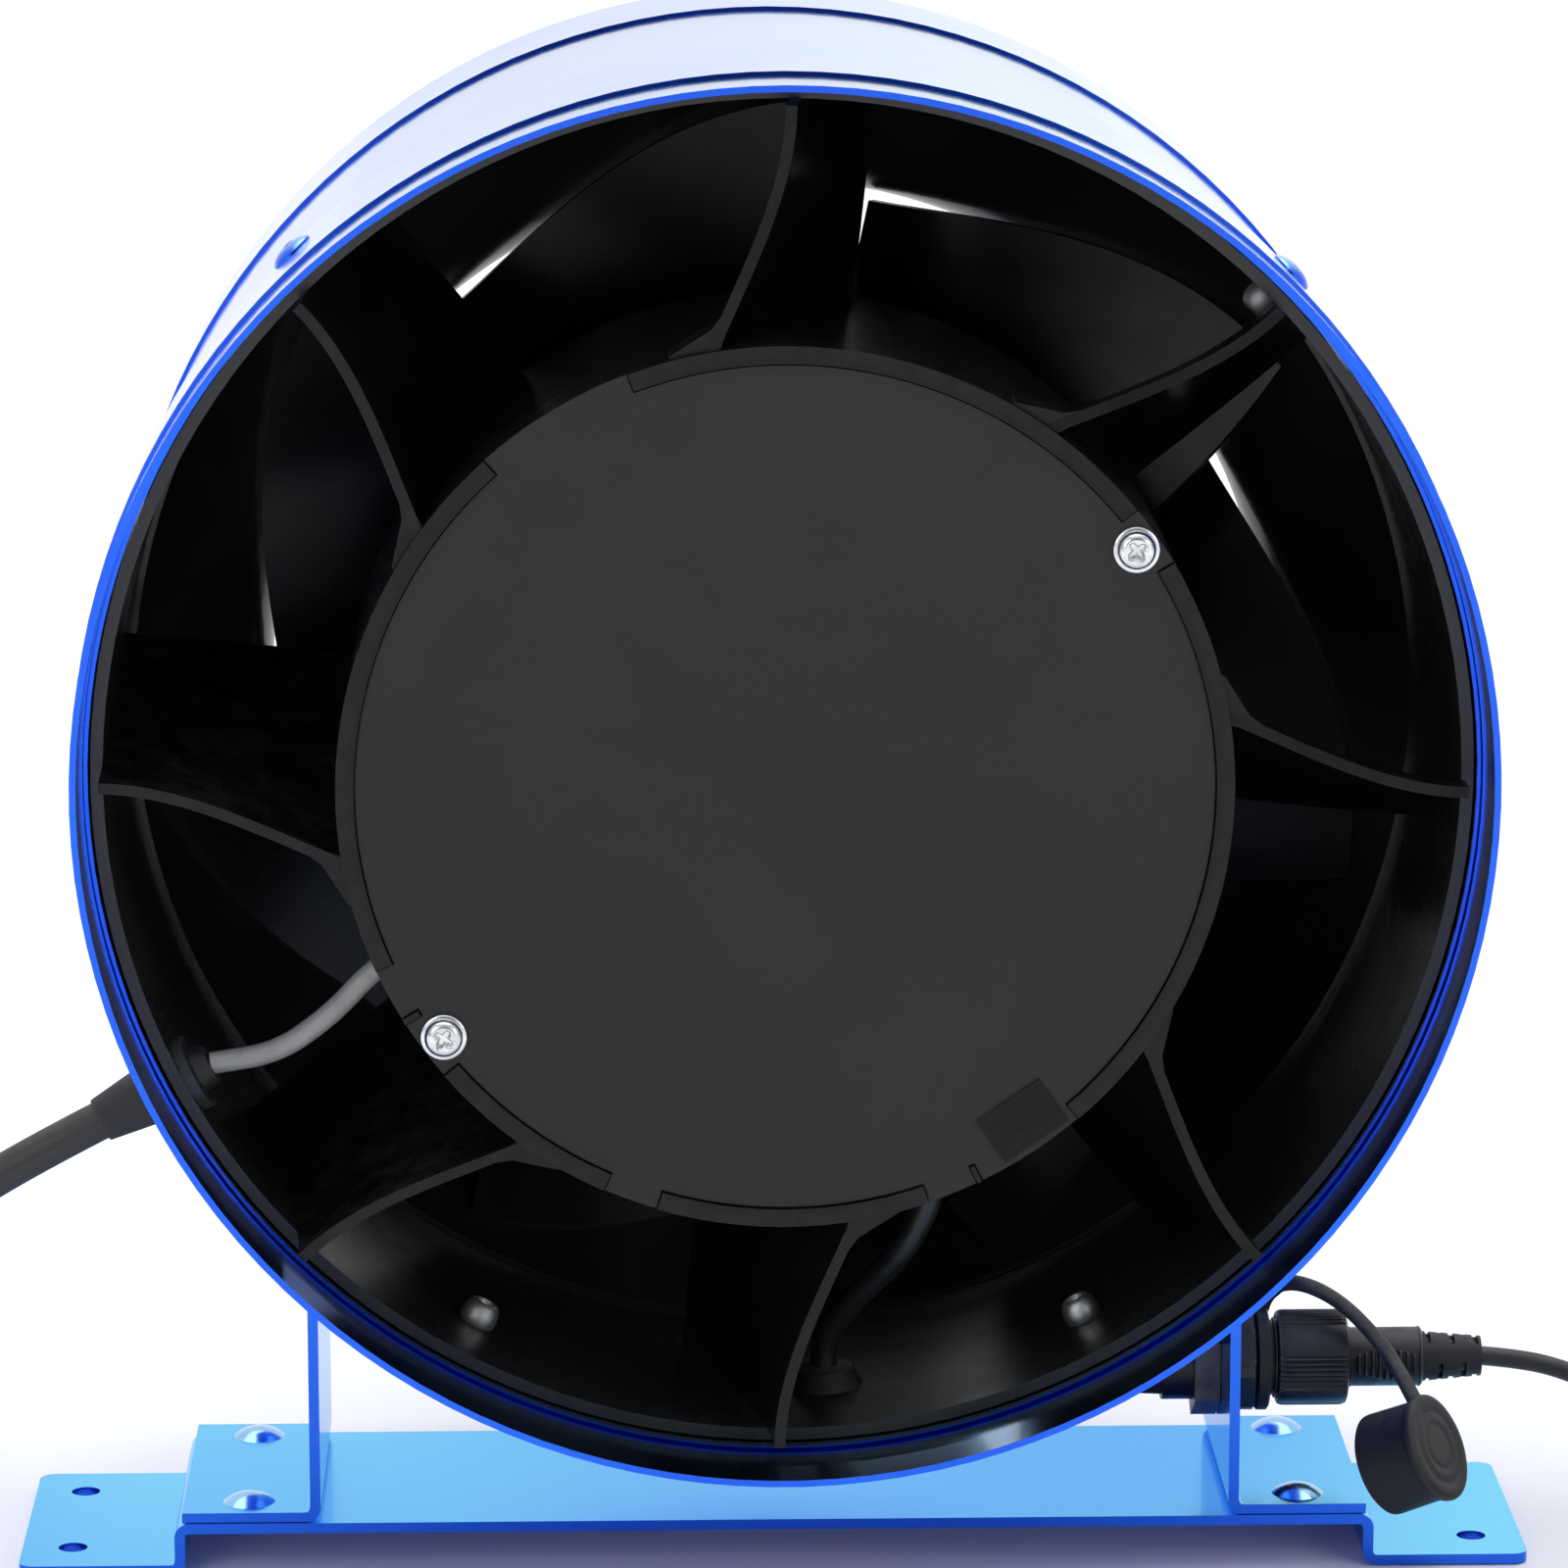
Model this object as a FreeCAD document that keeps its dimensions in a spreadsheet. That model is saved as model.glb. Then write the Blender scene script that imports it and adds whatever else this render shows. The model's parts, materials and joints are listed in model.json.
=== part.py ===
"""Inline mixed-flow duct fan on a bench bracket, with a plug-in speed controller.

Frame: X to the right, Y back along the duct from the outlet to the inlet, Z up. The origin is on
the surface the fan stands on, below the middle of its casing. Lengths are in millimetres. "Depth"
means the distance behind the outlet rim, and an angle round the duct starts at +X and turns
towards +Z.
"""
import FreeCAD
import Part
import Sketcher
from FreeCAD import Placement, Rotation, Vector
from math import atan2, cos, degrees, pi, radians, sin, sqrt, tan
import os

DIMENSIONS = {
    # casing
    "axis_height": (168, "duct axis above the feet"),
    "casing_length": (178, "outlet rim to inlet rim"),
    "collar_radius": (126.5, "outlet collar, outside"),
    "collar_length": (57, "outlet collar, along the duct"),
    "tube_radius": (125, "main tube, outside"),
    "tube_depth": (18, "front edge of the main tube behind the outlet rim"),
    "sheet_steel": (1.2, "casing wall"),
    "outlet_shoulder": (16.5, "back of the collar's drawn-in front, where the outlet duct stops"),
    "inlet_shoulder": (141, "front of the tube's drawn-out end for the inlet duct"),
    "liner_gap": (0.3, "liner and shroud inside the tube"),
    "liner_wall": (2.2, "stator liner wall"),
    "liner_depth": (21, "front edge of the liner"),
    "seam_depth": (91.5, "where the liner meets the inlet shroud"),
    "shroud_wall": (2, "inlet shroud wall"),
    "throat_depth": (118, "narrowest place of the inlet shroud"),
    "throat_radius": (95.3, "inlet shroud, inside, at its throat"),
    "mouth_depth": (165, "inlet edge of the bell mouth"),
    "mouth_radius": (118, "inlet shroud, inside, at its mouth"),
    # stator
    "hub_radius": (79.5, "stator hub, outside"),
    "hub_wall": (2.5, "stator hub wall"),
    "hub_depth": (7.5, "front face of the stator hub"),
    "hub_back": (80, "back face of the stator hub"),
    "vane_front": (9, "front edge of a guide vane"),
    "vane_back": (68, "back edge of a guide vane"),
    "vane_thickness": (2, "guide vane"),
    "vane_lean": (9.8, "degrees that a vane's front edge leans at the hub"),
    "vane_sweep": (7.6, "degrees that a vane's back edge trails its front edge"),
    "gusset": (8.6, "web at each vane's root"),
    "cover_radius": (76, "hub cover"),
    "cover_thickness": (2, "hub cover"),
    "screw_radius": (75.2, "cover screws from the duct axis"),
    "seat_depth": (10.2, "step the hub cover rests on"),
    # impeller
    "rotor_depth": (85.5, "front edge of the impeller hub"),
    "rotor_radius": (73.5, "impeller hub at its front edge"),
    "nose_depth": (124, "flat nose of the impeller hub"),
    "nose_radius": (47, "flat nose of the impeller hub"),
    "rotor_wall": (3, "impeller hub wall"),
    "blade_thickness": (2.2, "impeller blade"),
    # motor
    "shaft_radius": (4, "motor shaft"),
    "bearing_radius": (11, "ball bearing, outside"),
    "bearing_width": (7, "ball bearing"),
    "can_radius": (46, "rotor can, outside"),
    "can_wall": (1.6, "rotor can"),
    "air_gap": (0.6, "magnets to laminations"),
    # bracket
    "plate": (2, "bracket steel"),
    "plate_height": (10.2, "top of the raised middle of the base"),
    "base_depth": (58, "base, along the duct"),
    "base_middle": (108.5, "middle of the base behind the outlet rim"),
    "base_half": (145, "middle of the base to its end"),
    "raised_half": (113, "middle of the base to the joggle"),
    "leg_x": (89, "outer face of a leg"),
    "flange_x": (113.5, "outer edge of a leg's flange"),
    "foot_hole": (2.8, "foot hole radius"),
    "foot_hole_x": (135.3, "foot holes from the middle"),
    "foot_hole_pitch": (35, "between the two holes of a foot"),
    "rivet_x": (101, "bracket rivets from the middle"),
    "rivet_pitch": (42, "between the two rivets of a leg"),
    # connector and cords
    "socket_height": (33, "connector axis above the feet"),
    "thread_radius": (7.9, "connector thread"),
    "power_cord": (7.2, "mains cord, across"),
    "signal_cord": (3.8, "controller cord, across"),
}

BUSHING_DEPTH, BUSHING_ANGLE = 28, 207.5      # where the mains cord leaves the casing
SIGNAL_DEPTH, SIGNAL_ANGLE = 47, 274          # where the controller lead leaves the casing
COLLAR_RIVET_ANGLES = (43.6, 133.6, 242.3, 297.7)
COLLAR_RIVET_DEPTH = 43
SHOULDER = 0.7                                 # radial step at the duct shoulders
RIVET_CROWN = 0.5                              # radius of the flat on a rivet's dome
COVER_SCREW_ANGLES = (35, 216)
COVER_TABS = ((31, 39), (110.5, 131.5), (204, 210.8), (212, 220), (246, 253), (289, 295.4), (296.4, 311))
TAB_RIVET_ANGLES, TAB_RIVET_DEPTHS = (232.5, 307.5), (100, 127)
TAPE_PLACE, TAPE_ANGLE = (305, 73.6), 35       # angle and radius of its middle, and its own turn
VANES, VANE_START = 8, 89.5
BLADES, BLADE_START, BLADE_WRAP, BLADE_SWEEP = 7, -17.7, 44.5, 8.4
TIP_LINE = ((116, 93.4), (108, 96.9), (98.5, 107.3), (88.5, 114))    # depth and radius
THROAT_ROUNDING, BELL_ROUNDING, HUB_ROUNDING = 15, 60, 52
TEETH, MAGNET_THICKNESS = 9, 4
MOTOR_SCREW_ANGLES, MOTOR_SCREW_RADIUS = (30, 150, 270), 28
POST_ANGLES, POST_RADIUS = (90, 210, 330), 30
IMPELLER_SCREW_ANGLES, IMPELLER_SCREW_RADIUS = (90, 210, 330), 22
POWER_EXIT_ANGLE, POWER_EXIT_DEPTH = 205.8, 28
SIGNAL_EXIT_ANGLE, SIGNAL_EXIT_DEPTH = 290.6, 30
TAB_GAP, TAB_END = 0.1, 31                     # leg tabs: off the casing, and degrees from below

# Routes of the free cords, where they aren't coiled
POWER_LEAD = [(-123.3, -61, 103.8), (-141, -61, 94.6), (-158, -61, 83), (-171, -61, 67.5),
              (-180.5, -61.2, 49.5), (-190.5, -61.8, 32), (-204, -62.8, 18), (-221, -64.2, 8.3),
              (-243.9, -64.8, 3.6)]
POWER_TAIL = [(-285, -20, 18), (-285.5, -2, 16.8), (-284, 16, 14.6), (-277, 33, 12.8),
              (-264.5, 46, 12), (-248, 52.8, 12), (-234, 54, 12)]
SIGNAL_LEAD = [(138.6, 19.5, 33), (147, 19.6, 32.2), (156, 19.4, 29.8), (164.5, 18.6, 25.6),
               (171.5, 17, 19.8), (178.5, 15, 13.6), (187, 12.4, 7.6), (196.5, 10.7, 3.4),
               (206, 10.2, 1.9)]
SIGNAL_TAIL = [(183.2, 33, 17.1), (183.6, 24.5, 16.8), (185.2, 16, 15.4), (188.3, 8.5, 12.8),
               (191.8, 2, 10.8), (194, -4, 10)]
POWER_LEAD_DIAMETER, SIGNAL_LEAD_DIAMETER, BOOT_END = 4, 5, 52
PLUG_SLEEVE, PLUG_BODY, PLUG_PINS = 22, 30, 18
CONTROLLER_MIDDLE, CONTROLLER_SPLIT, CONTROLLER_TOP = (194, -45), 14, 26
POWER_COIL, SIGNAL_COIL = (-240, -20), (206, 33)
CAP_MIDDLE, CAP_FACING = Vector(122, -7, 21), Vector(0.78, -0.45, 0.42)
CAP_STRAP = [(95.5, 19.5, 42.6), (96.6, 19, 47.6), (102.5, 17, 49.2), (110, 13.5, 46.4),
             (116.5, 7, 41), (120.6, 0, 36), (123.8, -8, 30)]

doc = FreeCAD.newDocument("inline_duct_fan")
sheet = doc.addObject("Spreadsheet::Sheet", "sizes")
nodes = []


class Size:
    """A number together with the sheet expression that gives it."""

    def __init__(self, value, text=None):
        self.value = value
        self.text = text or f"({value:.6g})"

    def joined(self, other, sign, value):
        other = other if isinstance(other, Size) else Size(other)
        return Size(value(self.value, other.value), f"({self.text} {sign} {other.text})")

    def __add__(self, other):
        return self.joined(other, "+", lambda a, b: a + b)

    def __sub__(self, other):
        return self.joined(other, "-", lambda a, b: a - b)

    def __mul__(self, other):
        return self.joined(other, "*", lambda a, b: a * b)

    def __truediv__(self, other):
        return self.joined(other, "/", lambda a, b: a / b)

    def __neg__(self):
        return Size(-self.value, f"(-{self.text})")

    def root(self):
        return Size(self.value ** 0.5, f"sqrt({self.text})")


def dimension(name):
    return Size(DIMENSIONS[name][0], f"sizes.{name}")


def fill_sheet():
    for row, (name, (value, note)) in enumerate(DIMENSIONS.items(), start=1):
        sheet.set(f"A{row}", name)
        sheet.set(f"B{row}", str(value))
        sheet.set(f"C{row}", note)
        sheet.setAlias(f"B{row}", name)
    doc.recompute()


def size_of(item):
    return item if isinstance(item, Size) else Size(item)


def depth(item):
    """The Y of a distance behind the outlet rim."""
    return size_of(item) - dimension("casing_length") / 2


def behind(distance):
    return depth(distance).value


# ---- sketches and features -------------------------------------------------------------------

def new_body(name, kept=True):
    body = doc.addObject("PartDesign::Body", name)
    body.Label = name
    if kept:
        nodes.append(body)
    return body


def on_axis(body):
    """Puts a body whose own Y is the duct axis at the height of that axis."""
    body.setExpression("Placement.Base.z", dimension("axis_height").text)
    return body


def sketch_on(body, role, name, offset=None):
    sketch = body.newObject("Sketcher::SketchObject", name)
    plane = next(o for o in body.Origin.OriginFeatures if o.Role == role)
    sketch.AttachmentSupport = [(plane, "")]
    sketch.MapMode = "FlatFace"
    if offset:
        sketch.AttachmentOffset = offset
    return sketch


def fix_point(sketch, geo, end, x, y):
    """Ties a vertex to the sketch's axes with two dimensions from the sheet."""
    for kind, axis, size in (("DistanceX", -2, x), ("DistanceY", -1, y)):
        if abs(size.value) < 1e-9:
            sketch.addConstraint(Sketcher.Constraint("PointOnObject", geo, end, axis))
            continue
        index = sketch.addConstraint(Sketcher.Constraint(kind, -1, 1, geo, end, size.value))
        sketch.setExpression(f"Constraints[{index}]", size.text)


def arc_between(start, end, radius):
    """A short arc from start to end, which turns left where the radius is positive."""
    if radius < 0:
        start, end, radius = end, start, -radius
    along = end - start
    rise = (radius ** 2 - along.Length ** 2 / 4) ** 0.5
    centre = (start + end) / 2 + Vector(-along.y, along.x, 0).normalize() * rise
    first = atan2(start.y - centre.y, start.x - centre.x)
    last = atan2(end.y - centre.y, end.x - centre.x)
    circle = Part.Circle(centre, Vector(0, 0, 1), radius)
    return Part.ArcOfCircle(circle, first, last + (2 * pi if last < first else 0))


def outline(sketch, points):
    """A closed outline of (x, y) corners; a third value is the radius of the arc that ends there."""
    corners = [[size_of(value) for value in point] for point in points]
    first = len(sketch.Geometry)
    for i, corner in enumerate(corners):
        before = corners[i - 1]
        start = Vector(before[0].value, before[1].value, 0)
        end = Vector(corner[0].value, corner[1].value, 0)
        if len(corner) == 3:
            geo = sketch.addGeometry(arc_between(start, end, corner[2].value))
            radius = Size(abs(corner[2].value), f"abs({corner[2].text})")
            index = sketch.addConstraint(Sketcher.Constraint("Radius", geo, radius.value))
            sketch.setExpression(f"Constraints[{index}]", radius.text)
        else:
            sketch.addGeometry(Part.LineSegment(start, end))

    def ends(geo):
        turns_right = len(corners[geo - first]) == 3 and corners[geo - first][2].value < 0
        return (2, 1) if turns_right else (1, 2)

    for i, corner in enumerate(corners):
        geo, following = first + i, first + (i + 1) % len(corners)
        end, start = ends(geo)[1], ends(following)[0]
        sketch.addConstraint(Sketcher.Constraint("Coincident", geo, end, following, start))
        fix_point(sketch, geo, end, corner[0], corner[1])
    return sketch


def circle(sketch, x, y, radius):
    x, y, radius = size_of(x), size_of(y), size_of(radius)
    geo = sketch.addGeometry(Part.Circle(Vector(x.value, y.value, 0), Vector(0, 0, 1), radius.value))
    index = sketch.addConstraint(Sketcher.Constraint("Radius", geo, radius.value))
    sketch.setExpression(f"Constraints[{index}]", radius.text)
    fix_point(sketch, geo, 3, x, y)
    return sketch


def revolve(body, points, role="YZ_Plane", axis="H_Axis"):
    """Turns an outline about an axis of its sketch: the duct axis unless told otherwise."""
    sketch = outline(sketch_on(body, role, "section"), points)
    feature = body.newObject("PartDesign::Revolution", "turned")
    feature.Profile = sketch
    feature.ReferenceAxis = (sketch, [axis])
    return body


def pad(body, sketch, length, symmetric=True):
    feature = body.newObject("PartDesign::Pad", "pad")
    feature.Profile = sketch
    feature.SideType = "Symmetric" if symmetric else "One side"
    feature.setExpression("Length", size_of(length).text)
    return feature


def pocket(body, sketch, length, reverse=False, symmetric=False):
    feature = body.newObject("PartDesign::Pocket", "pocket")
    feature.Profile = sketch
    feature.SideType = "Symmetric" if symmetric else "One side"
    feature.Reversed = reverse
    feature.setExpression("Length", size_of(length).text)
    return feature


def radial_turn(angle):
    """Turns Z to point outwards at an angle round the duct axis."""
    return Rotation(Vector(0, 1, 0), 90 - angle)


def radial_hole(body, angle, distance, radius):
    """A round hole outwards from the duct axis, at an angle and a distance behind the rim."""
    offset = Placement(Vector(0, 0, 0), radial_turn(angle))
    sketch = circle(sketch_on(body, "XY_Plane", "hole", offset), 0, depth(distance), radius)
    return pocket(body, sketch, 140, reverse=True)


def pattern(body, feature, count, role="Y_Axis"):
    copies = body.newObject("PartDesign::PolarPattern", "pattern")
    copies.Originals = [feature]
    copies.Axis = (next(o for o in body.Origin.OriginFeatures if o.Role == role), [""])
    copies.Angle = 360
    copies.Occurrences = count
    body.Tip = copies
    return copies


def shape_node(name, shape):
    """A node whose shape comes from Part's own functions, at its place in the assembly."""
    feature = doc.addObject("Part::Feature", name)
    feature.Label = name
    feature.Shape = shape
    nodes.append(feature)
    return feature


def group_node(name, sample, places):
    """One node of identical separate solids: copies of a sample body at each place."""
    doc.recompute()
    copies = []
    for place in places:
        copy = sample.Shape.copy()
        copy.Placement = place.multiply(copy.Placement)
        copies.append(copy)
    return shape_node(name, Part.makeCompound(copies))


def axis_point(angle, distance, radius):
    """A point at an angle round the duct axis, a distance behind the rim and a radius."""
    height = DIMENSIONS["axis_height"][0]
    turn = radians(angle)
    return Vector(radius * cos(turn), behind(distance), height + radius * sin(turn))


def radial_place(angle, distance, radius):
    return Placement(axis_point(angle, distance, radius), radial_turn(angle))


# ---- casing ------------------------------------------------------------------------------------

def ring(body, front, back, inside, outside):
    return revolve(body, [(front, inside), (back, inside), (back, outside), (front, outside)])


def stepped_ring(body, front, back, inside, outside, step, front_shift, back_shift):
    """A rolled shell drawn in or out at one end, which leaves a shoulder that stops a duct."""
    front, back, step = depth(front), depth(back), depth(step)
    return revolve(body, [
        (front, inside + front_shift), (step, inside + front_shift), (step, inside + back_shift),
        (back, inside + back_shift), (back, outside + back_shift), (step, outside + back_shift),
        (step, outside + front_shift), (front, outside + front_shift)])


def make_casing():
    sheet_steel = dimension("sheet_steel")
    collar_radius, tube_radius = dimension("collar_radius"), dimension("tube_radius")
    collar = on_axis(new_body("outlet_collar"))
    stepped_ring(collar, 0, dimension("collar_length"), collar_radius - sheet_steel,
                 collar_radius, dimension("outlet_shoulder"), -SHOULDER, 0)
    tube = on_axis(new_body("main_tube"))
    stepped_ring(tube, dimension("tube_depth"), dimension("casing_length"),
                 tube_radius - sheet_steel, tube_radius, dimension("inlet_shoulder"), 0, SHOULDER)
    outside = tube_radius - sheet_steel - dimension("liner_gap")
    liner = on_axis(new_body("stator_liner"))
    ring(liner, depth(dimension("liner_depth")), depth(dimension("seam_depth")),
         outside - dimension("liner_wall"), outside)
    for shell in (collar, tube, liner):
        for angle in COLLAR_RIVET_ANGLES:
            radial_hole(shell, angle, COLLAR_RIVET_DEPTH, 2.45)
        radial_hole(shell, BUSHING_ANGLE, BUSHING_DEPTH, 5)
        radial_hole(shell, SIGNAL_ANGLE, SIGNAL_DEPTH, 4.5)
    for angle in TAB_RIVET_ANGLES:
        for distance in TAB_RIVET_DEPTHS:
            radial_hole(tube, angle, distance, 2.05)


def make_inlet_shroud():
    """A moulding that narrows from the liner to the throat, then opens as a bell mouth."""
    outside = dimension("tube_radius") - dimension("sheet_steel") - dimension("liner_gap")
    wall = dimension("shroud_wall")
    seam, mouth = dimension("seam_depth") + 0.3, dimension("mouth_depth")
    throat, throat_radius = dimension("throat_depth"), dimension("throat_radius")
    mouth_radius = dimension("mouth_radius")
    lip = dimension("liner_wall") + 1
    shroud = on_axis(new_body("inlet_shroud"))
    revolve(shroud, [
        (depth(seam), outside),
        (depth(seam), outside - lip),
        (depth(throat - 12.03), throat_radius + 6.04),
        (depth(throat), throat_radius, THROAT_ROUNDING),
        (depth(mouth), mouth_radius, BELL_ROUNDING),
        (depth(mouth), outside),
        (depth(mouth - wall), outside),
        (depth(mouth - wall), mouth_radius + 0.7),
        (depth(throat), throat_radius + wall, wall - BELL_ROUNDING),
        (depth(throat - 10.42), throat_radius + wall + 5.23, wall - THROAT_ROUNDING),
        (depth(seam + 2.2), outside - lip + 0.4),
        (depth(seam + 2.2), outside),
    ])


# ---- stator ------------------------------------------------------------------------------------

def face_sketch(body, name, distance):
    """A sketch square to the duct, at a distance behind the rim, seen from the outlet."""
    return sketch_on(body, "XZ_Plane", name, Placement(Vector(0, 0, -behind(distance)), Rotation()))


def sector(sketch, first, last, inner, outer):
    """A piece of a ring between two angles."""
    def at(radius, angle):
        return radius * cos(radians(angle)), radius * sin(radians(angle))

    return outline(sketch, [(*at(inner, first), -inner), at(outer, first),
                            (*at(outer, last), outer), at(inner, last)])


def on_circle(radius, angle):
    return radius * cos(radians(angle)), radius * sin(radians(angle))


def make_stator_hub():
    radius, wall = dimension("hub_radius"), dimension("hub_wall")
    front, back, seat = dimension("hub_depth"), dimension("hub_back"), dimension("seat_depth")
    rim = dimension("cover_radius") + 0.3
    hub = on_axis(new_body("stator_hub"))
    revolve(hub, [(depth(front), rim), (depth(seat), rim), (depth(seat), rim - 3.3),
                  (depth(seat + 3), rim - 3.3), (depth(seat + 7), radius - wall),
                  (depth(back - 3), radius - wall), (depth(back - 3), 14.3), (depth(back), 14.3),
                  (depth(back), radius), (depth(front), radius)])
    for angle in COVER_SCREW_ANGLES:
        x, z = on_circle(DIMENSIONS["screw_radius"][0], angle)
        pad(hub, circle(face_sketch(hub, "boss", seat), x, z, 4.2), 14, symmetric=False).Reversed = True
    for first, last in COVER_TABS:
        notch = sector(face_sketch(hub, "notch", front), first - 0.2, last + 0.2, rim.value - 0.5,
                       radius.value + 1)
        pocket(hub, notch, seat - front)
    for angle in COVER_SCREW_ANGLES:
        x, z = on_circle(DIMENSIONS["screw_radius"][0], angle)
        pocket(hub, circle(face_sketch(hub, "screw_hole", front), x, z, 1.95), 16)
    for angle in MOTOR_SCREW_ANGLES:
        x, z = on_circle(MOTOR_SCREW_RADIUS, angle)
        pocket(hub, circle(face_sketch(hub, "motor_hole", back - 4), x, z, 2.05), 6)
    radial_hole(hub, POWER_EXIT_ANGLE, POWER_EXIT_DEPTH, 2.4)
    radial_hole(hub, SIGNAL_EXIT_ANGLE, SIGNAL_EXIT_DEPTH, 3.5)


def make_hub_cover():
    seat, thickness = dimension("seat_depth"), dimension("cover_thickness")
    radius = dimension("cover_radius")
    cover = on_axis(new_body("hub_cover"))
    disc = circle(face_sketch(cover, "disc", seat), 0, 0, radius)
    pad(cover, disc, thickness, symmetric=False)
    for first, last in COVER_TABS:
        tab = sector(face_sketch(cover, "tab", seat), first, last, radius.value - 2,
                     DIMENSIONS["hub_radius"][0])
        pad(cover, tab, thickness, symmetric=False)
    for angle in COVER_SCREW_ANGLES:
        x, z = on_circle(DIMENSIONS["screw_radius"][0], angle)
        pocket(cover, circle(face_sketch(cover, "hole", seat - 4), x, z, 2.1), 6)


def screw_along_duct(name, head_radius, head_length, shank_radius, length):
    """A pan-head screw that points towards the inlet, with its seat at the origin."""
    screw = new_body(name, kept=False)
    return revolve(screw, [(length, 0), (length, shank_radius * 0.5), (length - 1, shank_radius),
                           (0, shank_radius), (0, head_radius), (-0.35 * head_length, head_radius),
                           (-head_length, 0.55 * head_radius, 0.62 * head_radius),
                           (-head_length, 0)])


def make_cover_fixings():
    seat = DIMENSIONS["seat_depth"][0] - DIMENSIONS["cover_thickness"][0]
    screw = screw_along_duct("cover_screw", 4.15, 2.6, 1.9, 14)
    group_node("cover_screws", screw, [
        Placement(axis_point(angle, seat, DIMENSIONS["screw_radius"][0]), Rotation())
        for angle in COVER_SCREW_ANGLES])
    tape = doc.addObject("Part::Box", "cover_seal_tape")
    tape.Label = "cover_seal_tape"
    tape.Length, tape.Width, tape.Height = 13.6, 0.5, 9.3
    turn = Rotation(Vector(0, 1, 0), -TAPE_ANGLE)
    corner = turn.multVec(Vector(-6.8, 0, -4.65))
    tape.Placement = Placement(axis_point(TAPE_PLACE[0], seat - 0.52, TAPE_PLACE[1]) + corner, turn)
    nodes.append(tape)


def curved_plate(grid, thickness):
    """A solid of even thickness about a curved mid-surface, given by rows of points on it."""
    rows, columns = len(grid), len(grid[0])

    def normal(i, j):
        across = grid[min(i + 1, rows - 1)][j] - grid[max(i - 1, 0)][j]
        along = grid[i][min(j + 1, columns - 1)] - grid[i][max(j - 1, 0)]
        return across.cross(along).normalize()

    faces = []
    for side in (-0.5, 0.5):
        surface = Part.BSplineSurface()
        surface.interpolate([[grid[i][j] + normal(i, j) * (side * thickness)
                              for j in range(columns)] for i in range(rows)])
        faces.append(surface.toShape())
    edges = [face.Edges for face in faces]
    sides = [Part.makeRuledSurface(edges[0][k], edges[1][k]) for k in range(4)]
    shell = Part.makeShell(faces + sides)
    shell.sewShape()
    solid = Part.makeSolid(shell)
    if solid.Volume < 0:
        solid.reverse()
    return solid


def duct_cylinder(radius, front, back):
    base = axis_point(0, front, 0)
    return Part.makeCylinder(radius, back - front, base, Vector(0, 1, 0))


def vane_angle(start, inward, backward):
    """Angle round the duct of a guide vane, by how far inward and backward from its front tip."""
    lean = DIMENSIONS["vane_lean"][0] * inward ** 2
    trail = -(DIMENSIONS["vane_sweep"][0] + 1.2 * inward)
    share = backward ** 1.7
    return start + lean * (1 - share) + trail * share


def make_guide_vanes():
    """Eight curved vanes between the hub and the liner, each with a small web at its root."""
    hub = DIMENSIONS["hub_radius"][0]
    tip = (DIMENSIONS["tube_radius"][0] - DIMENSIONS["sheet_steel"][0] - DIMENSIONS["liner_gap"][0]
           - DIMENSIONS["liner_wall"][0])
    front, back = DIMENSIONS["vane_front"][0], DIMENSIONS["vane_back"][0]
    reach = 1.5
    channel = duct_cylinder(tip, 0, 100).cut(duct_cylinder(hub, 0, 100))
    gusset = DIMENSIONS["gusset"][0]
    thickness = DIMENSIONS["vane_thickness"][0]
    vanes = []
    for k in range(VANES):
        start = VANE_START + 360 / VANES * k
        grid = []
        for i in range(6):
            radius = hub - reach + (tip - hub + 2 * reach) * i / 5
            inward = (tip - radius) / (tip - hub)
            grid.append([axis_point(vane_angle(start, inward, j / 6), front + (back - front) * j / 6,
                                    radius) for j in range(7)])
        root = vane_angle(start, 1, 0)
        foot = [axis_point(root - degrees(0.45 * thickness / hub), front + 0.2, hub - reach),
                axis_point(root + degrees(gusset / hub), front + 0.2, hub - reach),
                axis_point(root + degrees(gusset * 0.86 / hub), front + 0.2, hub + 0.6),
                axis_point(vane_angle(start, 0.9, 0) + 1.6, front + 0.2, hub + gusset * 0.42),
                axis_point(vane_angle(start, 0.8, 0), front + 0.2, hub + gusset)]
        web = Part.Face(Part.makePolygon(foot + foot[:1])).extrude(Vector(0, 9, 0))
        vanes.append(curved_plate(grid, thickness).fuse(web).common(channel))
    shape_node("guide_vanes", Part.makeCompound([solid for vane in vanes for solid in vane.Solids]))


# ---- motor and impeller ------------------------------------------------------------------------

def make_bearings():
    """Two ball bearings between the shaft and the motor's tube, with sunk dust shields."""
    outer, inner = dimension("bearing_radius") - 0.02, dimension("shaft_radius") + 0.03
    width = dimension("bearing_width")
    for name, front in (("front_bearing", 74), ("rear_bearing", 109)):
        bearing = on_axis(new_body(name))
        near, far = depth(front), depth(width + front)
        revolve(bearing, [(near, inner), (far, inner), (far, inner + 1.8), (far - 0.4, inner + 1.8),
                          (far - 0.4, outer - 1.8), (far, outer - 1.8), (far, outer), (near, outer),
                          (near, outer - 1.8), (near + 0.4, outer - 1.8), (near + 0.4, inner + 1.8),
                          (near, inner + 1.8)])


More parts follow.
